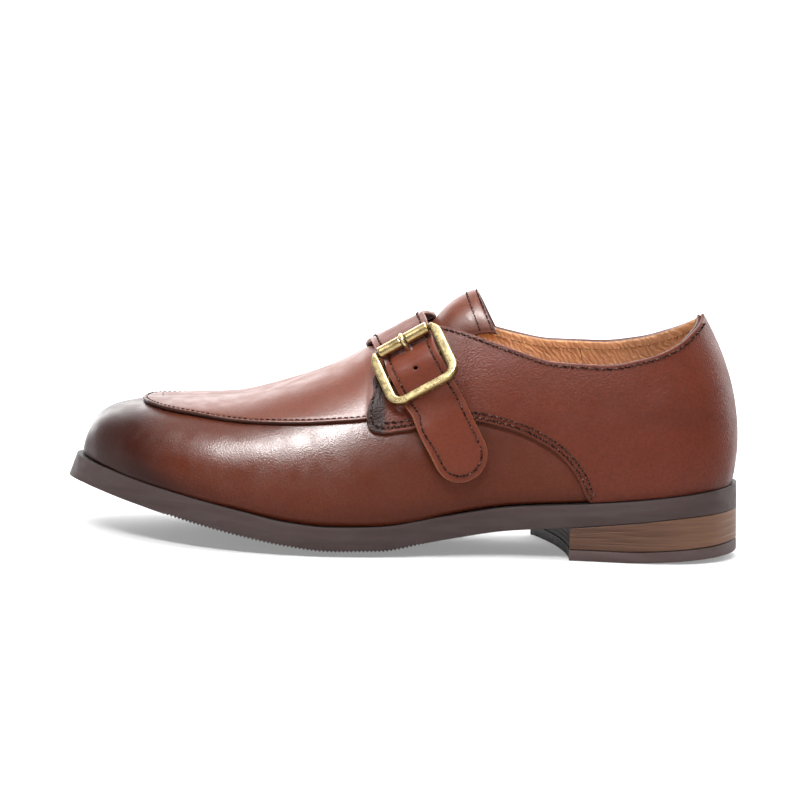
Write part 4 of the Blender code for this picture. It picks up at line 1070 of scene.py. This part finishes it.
def quarter_relief(points, distance, values):
    """Stitched grooves along the lower edge, folds over the heel and a soft wave."""
    s, h, z = values["st"], values["h"], points[:, 2]
    grooves = -0.14 * (bell(distance, 1.5, 0.4) + bell(distance, QUARTER_MARGINS[1], 0.4))
    middle = (quarter_low(s) + quarter_high(s)) / 2
    grooves *= (1.0 - smooth_step((h - middle) / 0.05)) * (1.0 - smooth_step((s - 140.0) / 2.5))
    creases = sum(depth * bell(z, height + slope * s - sway * np.sin(s * waves + phase), width)
                  for height, slope, sway, waves, phase, width, depth in CREASES)
    creases = -0.16 * creases * smooth_step((s - 9) / 8) * (1 - smooth_step((s - 34) / 14))
    wave = 0.12 * np.sin(s * 0.14 + z * 0.06) * np.sin(z * 0.15)
    return grooves + creases + wave * smooth_step(distance / 5.0)


def make_quarter(name, side, m, node):
    """One quarter with its rolled collar lip; painted shade, over its burnish, darkens its front
    tab, which lies in shadow under the buckle and strap.
    """
    places = np.concatenate((
        (0.0, 0.02, 0.06, 0.12, 0.22), stations(0.35, 58.0, 66),
        np.linspace(QUARTER_REAR, 63.6, 16), np.arange(64.2, 140.0, 1.1),
        np.arange(140.2, 145.2, 0.4), np.linspace(145.25, QUARTER_FRONT, 6)))
    low, high = quarter_low(places), quarter_high(places) - LIP
    height = low[:, None] + (high - low)[:, None] * spaced(52.0, 1.5)
    station = front_cut(places[:, None], height)
    grid = quarter_at(side, station, height)
    top, normal = grid[:, -1], last_normal(side, station[:, -1], high)
    up = unit(top - grid[:, -4])
    lip = [top + up * LIP_RISE * math.sin(a) - normal * LIP_WIDTH * (1.0 - math.cos(a))
           for a in np.linspace(0.0, math.pi, 12)[1:]]
    lip.append(lip[-1] - up * LIP_TURN_IN)
    grid = np.concatenate((grid, np.stack(lip, axis=1)), axis=1)
    st, h = (np.pad(v, ((0, 0), (0, len(lip))), mode="edge") for v in (station, height))
    # the front tab gets painted shade on top of the burnish, for the buckle's and strap's shadow
    shade = np.clip(toe_burnish(st, h) * 0.8 + smooth_step((st - 136.0) / 5.0), 0.0, 1.0)
    obj = leather_piece(name, [grid], QUARTER, [m["calf_quarter"]], 0.5, quarter_relief,
                        values={"shade": [shade], "st": [st], "h": [h]},
                        plain_edge=lambda v: v["h"] < 0.002)
    placed(obj, "quarter_leather", node)


def edge_path(side, inset, front_top=None):
    """Path on the quarters at a distance inside their lower edge, and up the front if asked."""
    places = np.concatenate((np.linspace(58.9, 64.0, 14), np.arange(65.0, 142.0, 1.2)))
    heights = quarter_low(places)
    if front_top:
        corner, up = np.linspace(142.0, QUARTER_FRONT, 12), np.linspace(0.428, front_top, 24)
        places = np.concatenate((places, corner, front_cut(QUARTER_FRONT, up)))
        heights = np.concatenate((heights, quarter_low(corner[:-1]), (0.425,), up))
    base = quarter_at(side, places, heights)
    lengths = path_lengths(base)
    even = np.arange(0.0, lengths[-1], 0.8)
    base = on_path(even, lengths, base)
    places, heights = np.interp(even, lengths, places), np.interp(even, lengths, heights)
    for _ in range(4):
        base[1:-1] = (base[:-2] + 2 * base[1:-1] + base[2:]) / 4
    normal = last_normal(side, places, heights)
    points = base + unit(np.cross(normal, np.gradient(base, axis=0))) * side * inset
    return over_leather(side, HALF - points[:, 0], points[:, 2], -0.08), normal


def below_collar(side, places, depth):
    """Heights on the last a given distance below the collar's edge."""
    high = quarter_high(places) - LIP
    step = 0.01
    reach = np.linalg.norm(quarter_at(side, places, high)
                           - quarter_at(side, places, high - step), axis=-1)
    return high - step * depth / reach


def make_seams(m):
    """Rows of thread on the quarters, the collar and the lining."""
    bodies, tan = [], []
    for side in (LATERAL, MEDIAL):
        for inset, top in zip(QUARTER_MARGINS, (0.6, None)):
            bodies += stitch_row(*edge_path(side, inset, top), "quarter")
        st = np.concatenate((stations(0.8, 30.0, 30), np.arange(31.0, COLLAR_END[side], 1.5)))
        height = below_collar(side, st, 1.1)
        bodies += stitch_row(quarter_at(side, st, height), last_normal(side, st, height), "collar")
        st = np.arange(3.0, 118.0, 1.5)
        height = below_collar(side, st, 2.6)
        path = last(side, st, height, -tuck(st) - WALL - 0.1)
        tan += stitch_row(path, -last_normal(side, st, height), "lining_top")
        height = np.linspace(0.45, 0.985, 30)
        st = np.full(len(height), 58.0)
        path = last(side, st, height, -tuck(st) - WALL - 0.2)
        tan += stitch_row(path, -last_normal(side, st, height), "lining_side")
    stitching("quarter_stitching", bodies, m["thread"], "quarter_leather")
    stitching("lining_stitching", tan, m["tan_thread"], "insole_leather")


def tongue_grid(places, angles):
    rows = spline(TONGUE_ROWS, places)[:, None, :]
    s, ridge_y, ridge_z, half, drop, sweep = (rows[..., k] for k in range(6))
    fall = 1.0 - np.cos(angles)
    return np.stack((HALF - (s - sweep * fall), ridge_y + half * np.sin(angles),
                     ridge_z - drop * fall), axis=-1)


def make_tongue(m):
    share = spaced(TONGUE_LENGTH, 1.3)
    angles = (spaced(TONGUE_GIRTH, 1.3) - 0.5) * math.pi
    grid = tongue_grid(share, angles)
    way = np.broadcast_to(share[:, None], grid.shape[:2])

    def relief(points, distance, values):
        rear = bell((1.0 - values["way"]) * TONGUE_LENGTH, REAR_SEAM, 0.5)
        wave = 0.06 * np.sin(points[:, 1] * 0.4 + points[:, 0] * 0.3)
        return wave - 0.15 * rear - 0.14 * bell(distance, HEM, 0.35)

    obj = leather_piece("tongue_tab", [grid], TONGUE, [m["calf_apron"], m["lining"]], 0.8, relief,
                        values={"shade": [np.full(way.shape, 0.05)], "way": [way]},
                        axis_z=60.0, wrap=2.0)
    placed(obj, "apron_leather", "tongue")
    bodies = []
    wide = np.linspace(-0.47, 0.47, 80) * math.pi
    normals = np.stack((np.full(80, 0.5), np.sin(wide), np.cos(wide)), -1)
    for inset in (HEM, REAR_SEAM):
        path = tongue_grid(np.array((1.0 - inset / TONGUE_LENGTH,)), wide)[0]
        bodies += stitch_row(path, normals, "tongue")
    stitching("tongue_stitching", bodies, m["thread"], "apron_leather")


# ---------------------------------------------------------------- strap and buckle

STRAP_MARGIN = 2.4
SEWN_AT = (0.022, 0.0528)  # shares of the strap where its inner end is sewn across
HOLE_AT, HOLE_RADIUS = (-0.1, 14.1, 0.0), 0.95
ROLLER_LENGTH, ROLLER_SIDES = 9.4, 48
BAR_RADIUS, BAR_HALF = 1.2, 12.6
FRAME_DEPTH = 1.62
PRONG = [
    # down, out
    (10.0, -1.3), (8.5, -1.9), (7.0, -2.6), (5.6, -3.1), (4.4, -2.7), (3.6, -1.3),
    (3.1, 0.4), (2.3, 1.8), (0.8, 2.5), (-0.8, 2.35), (-1.9, 1.5), (-2.4, 0.6),
]
PRONG_RADIUS = 0.82
ROLLER_END = [
    # radius, distance from the end
    (2.47, 0.75), (2.50, 0.42), (2.42, 0.14), (2.2, 0.0), (1.8, 0.0), (1.45, 0.1),
]
BAR_SECTION = np.array([
    # across, out, for the front half of a bar's outline
    (0.0, 1.0), (0.55, 1.0), (0.72, 0.99), (0.93, 0.84), (1.0, 0.58),
    (1.0, 0.0), (1.0, -0.58), (0.93, -0.84), (0.72, -0.99), (0.0, -1.0),
])


def tail_row(way, half, above, across, shift=0.0):
    """Row across the tail of the strap, on the outer quarter."""
    s, z = TAIL_START[0] + TAIL_WAY[0] * way, TAIL_START[1] + TAIL_WAY[1] * way
    off = shift + half * across
    return over_leather(LATERAL, s + TAIL_WAY[1] * off, z - TAIL_WAY[0] * off, above)


def strap_rows(across):
    """Key rows of the strap, from its inner end, over the instep, to its straight tail."""
    share = (across + 1.0) / 2
    rows = [over_leather(MEDIAL, fs + (rs - fs) * share, fz + (rz - fz) * share, above)
            for fs, fz, rs, rz, above in INNER_ROWS]
    for fs, fy, fz, rs, ry, rz in CROSS_ROWS:
        front, rear = np.array((HALF - fs, fy, fz)), np.array((HALF - rs, ry, rz))
        rows.append(front + (rear - front) * share[:, None])
    rows += [buckle_point(STRAP_HALF * across, down, front + (rear - front) * share)
             for down, front, rear in BUCKLE_ROWS]
    rows += [tail_row(TAIL_LENGTH * k / 3, STRAP_HALF, above, across)
             for k, above in enumerate((3.7, 3.6, 3.5, 3.0))]
    return rows


def make_strap(m):
    across = spaced(2 * STRAP_HALF, 0.9) * 2.0 - 1.0
    places = np.concatenate(((0.0, 0.001, 0.003, 0.006), np.linspace(0.012, 1.0, 150)))
    body = spline(strap_rows(across), places)
    end = []
    for angle in np.concatenate((np.linspace(0.05, 1.3, 18), np.linspace(1.34, 1.53, 7))):
        half, way = STRAP_HALF * math.cos(angle), TAIL_LENGTH + STRAP_HALF * math.sin(angle)
        end.append(tail_row(way, half, 3.0 - 0.51 * angle / 1.57, across))
    grid = np.concatenate((body, np.stack(end)))

    def relief(points, distance, values):
        wave = 0.07 * np.sin(points[:, 0] * 0.5 + points[:, 2] * 0.4)
        return wave - 0.16 * bell(distance, STRAP_MARGIN, 0.45)

    obj = leather_piece("monk_strap_leather", [grid], STRAP, [m["calf_strap"], m["flesh"]], 0.55,
                        relief, axis_z=40.0)
    punch(obj, HOLE_RADIUS, HOLE_AT)
    placed(obj, "strap_leather", "monk_strap")


def make_strap_stitches(m):
    """Rows along both edges, across the sewn inner end and round the tail's end."""
    bodies = []
    inset = 1.0 - STRAP_MARGIN / STRAP_HALF
    for line in (-inset, inset):
        rows = spline(strap_rows(line + np.array((-0.05, 0.0, 0.05))), np.linspace(0.02, 1.0, 300))
        path = rows[:, 1]
        normals = np.cross(np.gradient(path, axis=0), rows[:, 2] - rows[:, 0])
        normals *= np.sign(np.sum(normals * from_axis(path, 40.0), axis=1))[:, None]
        bodies += stitch_row(path, normals, "strap")
    for place in SEWN_AT:
        near = spline(strap_rows(np.linspace(-1.0, 1.0, 60) * inset),
                      place + np.array((-0.004, 0.0, 0.004)))
        normals = np.cross(np.gradient(near[1], axis=0), near[2] - near[0])
        normals *= np.sign(normals[:, 1])[:, None]
        bodies += stitch_row(near[1], normals, "strap")
    radius = STRAP_HALF - STRAP_MARGIN
    path = np.concatenate([tail_row(TAIL_LENGTH + radius * math.cos(a), radius, 2.8,
                                    np.array((math.sin(a),)))
                           for a in np.linspace(-math.pi / 2, math.pi / 2, 40)])
    normals = last_normal(LATERAL, HALF - path[:, 0], np.full(len(path), 0.3))
    bodies += stitch_row(path, normals, "strap_end")
    stitching("strap_stitching", bodies, m["thread"], "strap_leather")


def punch(obj, radius, at):
    """Cut a round hole through the strap, square to the buckle's plane."""
    centre = buckle_point(*at)
    points, faces = tube(np.stack((centre - OUT * 6.0, centre + OUT * 6.0)), radius, 24,
                         np.stack((DOWN, DOWN)))
    tool = make_mesh("punch", points, faces, [])
    fix_normals(tool, 35.0)
    cut = obj.modifiers.new("punched", 'BOOLEAN')
    cut.operation = 'DIFFERENCE'
    cut.solver = 'EXACT'
    cut.object = tool
    bpy.context.view_layer.update()
    graph = bpy.context.evaluated_depsgraph_get()
    whole, obj_cut = obj.data, bpy.data.meshes.new_from_object(obj.evaluated_get(graph))
    obj.modifiers.clear()
    obj.data = obj_cut
    bpy.data.meshes.remove(whole)
    bpy.data.objects.remove(tool)


def make_chape(m):
    across = spaced(2 * CHAPE_HALF, 1.0) * 2.0 - 1.0
    share = (across + 1.0) / 2
    rows = [buckle_point(CHAPE_HALF * across, down, front + (rear - front) * share)
            for down, front, rear in CHAPE_ROWS]
    rows += [tail_row(4.0 * k, CHAPE_HALF, 1.15, across, shift=-0.5 * k) for k in range(4)]
    grid = spline(rows, spaced(30.0, 1.0))
    obj = leather_piece("buckle_chape_leather", [grid], CHAPE, [m["dark_calf"]], 0.35, axis_z=40.0)
    placed(obj, "chape_leather", "buckle_chape")


def arc(cx, cy, radius, first, final, count):
    angles = np.radians(np.linspace(first, final, count))
    return np.stack((cx + radius * np.cos(angles), cy + radius * np.sin(angles)), -1)


def mirrored(half):
    """The whole outline from its half, which ends on the middle line."""
    return np.concatenate((half * (-1, 1), half[::-1][1:]))


def make_frame(m):
    """Open frame swept between its outer and inner outlines, with rounded bars; its flat outer face
    is painted bright, as worn brass and as reflection.
    """
    half, low, high = FRAME_WIDTH / 2 + 0.15, -2.0, FRAME_HIGH + 0.15
    inside, bottom = half - SIDE_BAR - 0.15, high - LOWER_BAR
    cx = half - FRAME_CORNER
    start = math.degrees(math.acos((inside - cx) / FRAME_CORNER))
    outer = mirrored(np.concatenate((
        arc(cx, low + FRAME_CORNER, FRAME_CORNER, -start, 0.0, 10),
        np.linspace((half, 6.0), (half, 17.0), 12),
        arc(cx, high - FRAME_CORNER, FRAME_CORNER, 0.0, 90.0, 12),
        np.linspace((7.0, high), (0.0, high), 8))))
    inner = mirrored(np.concatenate((
        np.linspace((inside, 1.4), (inside, 5.2), 10),
        np.linspace((inside, 6.2), (inside, 17.2), 12),
        arc(inside - INNER_CORNER, bottom - INNER_CORNER, INNER_CORNER, 0.0, 90.0, 12),
        np.linspace((7.0, bottom), (0.0, bottom), 8))))
    section = np.concatenate((BAR_SECTION, BAR_SECTION[-2:0:-1] * (-1, 1)))
    shape, rise = section.T
    scales = np.ones(len(outer))
    scales[[0, -1]], scales[[1, -2]] = 0.55, 0.86
    rings = []
    for (ox, oy), (ix, iy), scale in zip(outer, inner, scales):
        rings.append(buckle_point((ox + ix) / 2 + (ox - ix) / 2 * shape * scale,
                                  (oy + iy) / 2 + (oy - iy) / 2 * shape * scale,
                                  rise * FRAME_DEPTH * scale))
    bodies = [(np.concatenate(rings), capped_faces(len(rings), len(section)))]
    for down, out in ((0.0, 0.0), (11.5, -1.5)):
        ends = buckle_point(np.linspace(-BAR_HALF, BAR_HALF, 9), down, out)
        bodies.append(tube(ends, BAR_RADIUS, 20, np.broadcast_to(DOWN, ends.shape)))
    points, faces = joined(bodies)
    # painted reflection with wear: the flat outer face bright, the bevels and sides dimmer, the
    # back face and the bars brown patina
    bright = np.select([rise > 0.95, rise > 0.5, rise > -0.7], [1.0, 0.25, 0.3], -0.5)
    wear_and_sheen = np.full(len(points), -0.8)
    wear_and_sheen[:len(bodies[0][0])] = np.tile(bright, len(rings))
    obj = make_mesh("buckle_frame_brass", points, faces, [m["brass"]], {"wear_and_sheen": wear_and_sheen})
    fix_normals(obj, 38.0)
    placed(obj, "antique_brass", "buckle_frame")


def make_roller(node, across, m):
    """Brass sleeve on the top bar, with a rolled rim at each end."""
    half = ROLLER_LENGTH / 2
    profile = [(r, h - half) for r, h in ROLLER_END[::-1]] + [(2.47, 0.0)]
    profile += [(r, half - h) for r, h in ROLLER_END] + [(1.45, 0.1 - half)]
    angles = np.arange(ROLLER_SIDES) * 2 * math.pi / ROLLER_SIDES
    points = np.concatenate([buckle_point(np.full(ROLLER_SIDES, across + h), r * np.cos(angles),
                                          r * np.sin(angles)) for r, h in profile])
    # painted reflection: the roller's outward side is brighter than the rest
    wear_and_sheen = np.tile(0.45 * np.clip(np.sin(angles) * 1.2, 0, 1), len(profile))
    points, faces, values = merged(points, ring_faces(len(profile), ROLLER_SIDES), {"wear_and_sheen": wear_and_sheen})
    obj = make_mesh(node + "_brass", points, faces, [m["brass"]], values)
    fix_normals(obj, 40.0)
    placed(obj, "antique_brass", node)


def make_prong(m):
    count = 60
    down, out = spline(PRONG, np.linspace(0.0, 1.0, count)).T
    points = buckle_point(np.zeros(count), down, out)
    taper = np.interp(np.arange(count), (54, 58, 59), (1.0, 0.75, 0.35))
    body, faces = tube(points, PRONG_RADIUS * taper, 14, np.broadcast_to(ACROSS, points.shape))
    obj = make_mesh("buckle_prong", body, faces, [m["brass"]], {"wear_and_sheen": np.full(len(body), 0.9)})
    fix_normals(obj, 50.0)
    placed(obj, "antique_brass", "prong")


# ---------------------------------------------------------------- studio, in metres

UPPER_FRONT = ("vamp_and_lining", "moccasin_plug", "tongue_tab")
LIGHTS = [
    # name, place, aim, size, watts, on (diffuse, gloss), the only pieces that it lights
    ("key", (-0.25, -0.58, 0.88), (0.0, 0.0, 0.05), (1.1, 0.12), 13.5, (True, False), ()),
    ("fill", (0.0, -1.2, 0.15), (0.0, 0.0, 0.0), (1.8, 0.2), 3.0, (True, False), ()),
    ("strip", (-0.13, -0.58, 0.86), (0.0, 0.0, 0.05), (0.50, 0.20), 142.0, (False, True),
     UPPER_FRONT),
    ("glow", (-0.13, -0.58, 0.86), (0.0, 0.0, 0.05), (0.50, 0.20), 22.0, (False, True), ()),
    ("top", (0.0, 0.02, 1.05), (0.0, 0.0, 0.0), (1.2, 0.5), 6.0, (True, True), ()),
    ("rear_rim", (0.05, 0.95, 0.50), (0.0, 0.0, 0.05), (1.4, 0.5), 11.5, (True, True), ()),
    ("toe_side", (-0.62, 0.85, 0.30), (-0.10, 0.0, 0.04), (0.25, 0.5), 3.6, (True, True), ()),
    ("heel_side", (0.80, 0.50, 0.35), (0.1, 0.0, 0.05), (0.4, 0.5), 4.5, (True, True), ()),
    ("collar", (-0.02, -0.10, 0.60), (0.02, 0.01, 0.07), (0.20, 0.20), 1.0, (True, True), ()),
    ("backdrop", (0.0, 0.9, 1.9), (0.0, 1.9, 0.6), (2.5, 0.6), 30.0, (True, True), ()),
    ("sheen", (0.05, -0.25, 0.90), (0.05, 0.0, 0.08), (0.30, 0.14), 10.0, (False, True),
     ("quarter_outer_side",)),
]
WORLD_STRENGTH = 0.22
CAMERA_LIFT, CAMERA_ROLL = math.radians(7.4), math.radians(2.5)
CAMERA_DISTANCE, CAMERA_LENS = 1.25, 144.7
CAMERA_AIM = Vector((-0.0026, 0.0017, 0.0551))


def make_floor():
    """Pale floor that rises behind the shoe; it glows faintly near the shoe, painted light that
    lightens the shoe's shadows, and glows to white away from it.
    """
    n = Nodes("pale_floor", 0.55, Base_Color=(0.56, 0.56, 0.565, 1.0), Specular_IOR_Level=0.0,
              Emission_Color=(1.0, 1.0, 1.0, 1.0))
    out = n.add("ShaderNodeVectorMath", {0: n.place}, operation='LENGTH').outputs["Value"]
    # painted light: the floor glows at 0.26 near the shoe and fully white far off
    n.tree.links.new(n.span(out, 0.8, 1.7, 0.26, 1.0), n.shader.inputs["Emission Strength"])
    flat, bend, far = 1.2, 0.8, 20.0
    outline = [(y, 0.0) for y in (-far, -8.0, -4.0, *np.linspace(-2.2, flat, 18))]
    outline += [(flat + bend * math.sin(a), bend * (1 - math.cos(a)))
                for a in np.linspace(0.1, math.pi / 2, 14)]
    outline += [(flat + bend, z) for z in np.linspace(1.0, 3.2, 8)]
    xs = (-far, -8.0, *np.linspace(-3.0, 3.0, 13), 8.0, far)
    grid = np.array([[(x, y, z) for x in xs] for y, z in outline]) * 1000.0
    floor = make_mesh("studio_floor", grid.reshape(-1, 3), grid_faces(*grid.shape[:2]),
                      [n.material])


def make_light(name, at, aim, size, watts, on, only):
    data = bpy.data.lights.new(name, 'AREA')
    data.shape = 'RECTANGLE'
    data.size, data.size_y = size
    data.energy = watts
    obj = bpy.data.objects.new(name, data)
    obj.location = at
    obj.visible_diffuse, obj.visible_glossy = on
    obj.rotation_euler = (Vector(aim) - Vector(at)).to_track_quat('-Z', 'Y').to_euler()
    bpy.context.scene.collection.objects.link(obj)
    if only:
        lit = bpy.data.collections.new(name + "_receivers")
        for piece in only:
            lit.objects.link(bpy.data.objects[piece])
        obj.light_linking.receiver_collection = lit


def make_studio():
    scene = bpy.context.scene
    scene.view_settings.view_transform = 'Standard'
    make_floor()
    scene.world = scene.world or bpy.data.worlds.new("studio")
    scene.world.use_nodes = True
    background = scene.world.node_tree.nodes["Background"]
    background.inputs["Color"].default_value = (1.0, 1.0, 1.0, 1.0)
    background.inputs["Strength"].default_value = WORLD_STRENGTH
    for light in LIGHTS:
        make_light(*light)


def make_camera():
    """Square to the outer side, a little above it and rolled clockwise."""
    back = Vector((0.0, -math.cos(CAMERA_LIFT), math.sin(CAMERA_LIFT)))
    level = Vector((1.0, 0.0, 0.0))
    up = back.cross(level)
    right = level * math.cos(CAMERA_ROLL) + up * math.sin(CAMERA_ROLL)
    up = up * math.cos(CAMERA_ROLL) - level * math.sin(CAMERA_ROLL)
    data = bpy.data.cameras.new("camera")
    data.lens = CAMERA_LENS
    data.sensor_width = 36.0
    camera = bpy.data.objects.new("camera", data)
    axes = Matrix((right, up, back)).transposed().to_4x4()
    camera.matrix_world = Matrix.Translation(CAMERA_AIM + back * CAMERA_DISTANCE) @ axes
    bpy.context.scene.collection.objects.link(camera)
    bpy.context.scene.camera = camera


def main():
    make_camera()
    m = make_materials()
    make_outsole(m)
    make_heel(m)
    make_insole(m)
    make_upper(m)
    make_apron(m)
    make_quarter("quarter_outer_side", LATERAL, m, "quarter_lateral")
    make_quarter("quarter_inner_side", MEDIAL, m, "quarter_medial")
    make_seams(m)
    make_tongue(m)
    make_strap(m)
    make_strap_stitches(m)
    make_chape(m)
    make_frame(m)
    make_roller("roller_front", -5.75, m)
    make_roller("roller_rear", 5.75, m)
    make_prong(m)
    make_studio()


main()
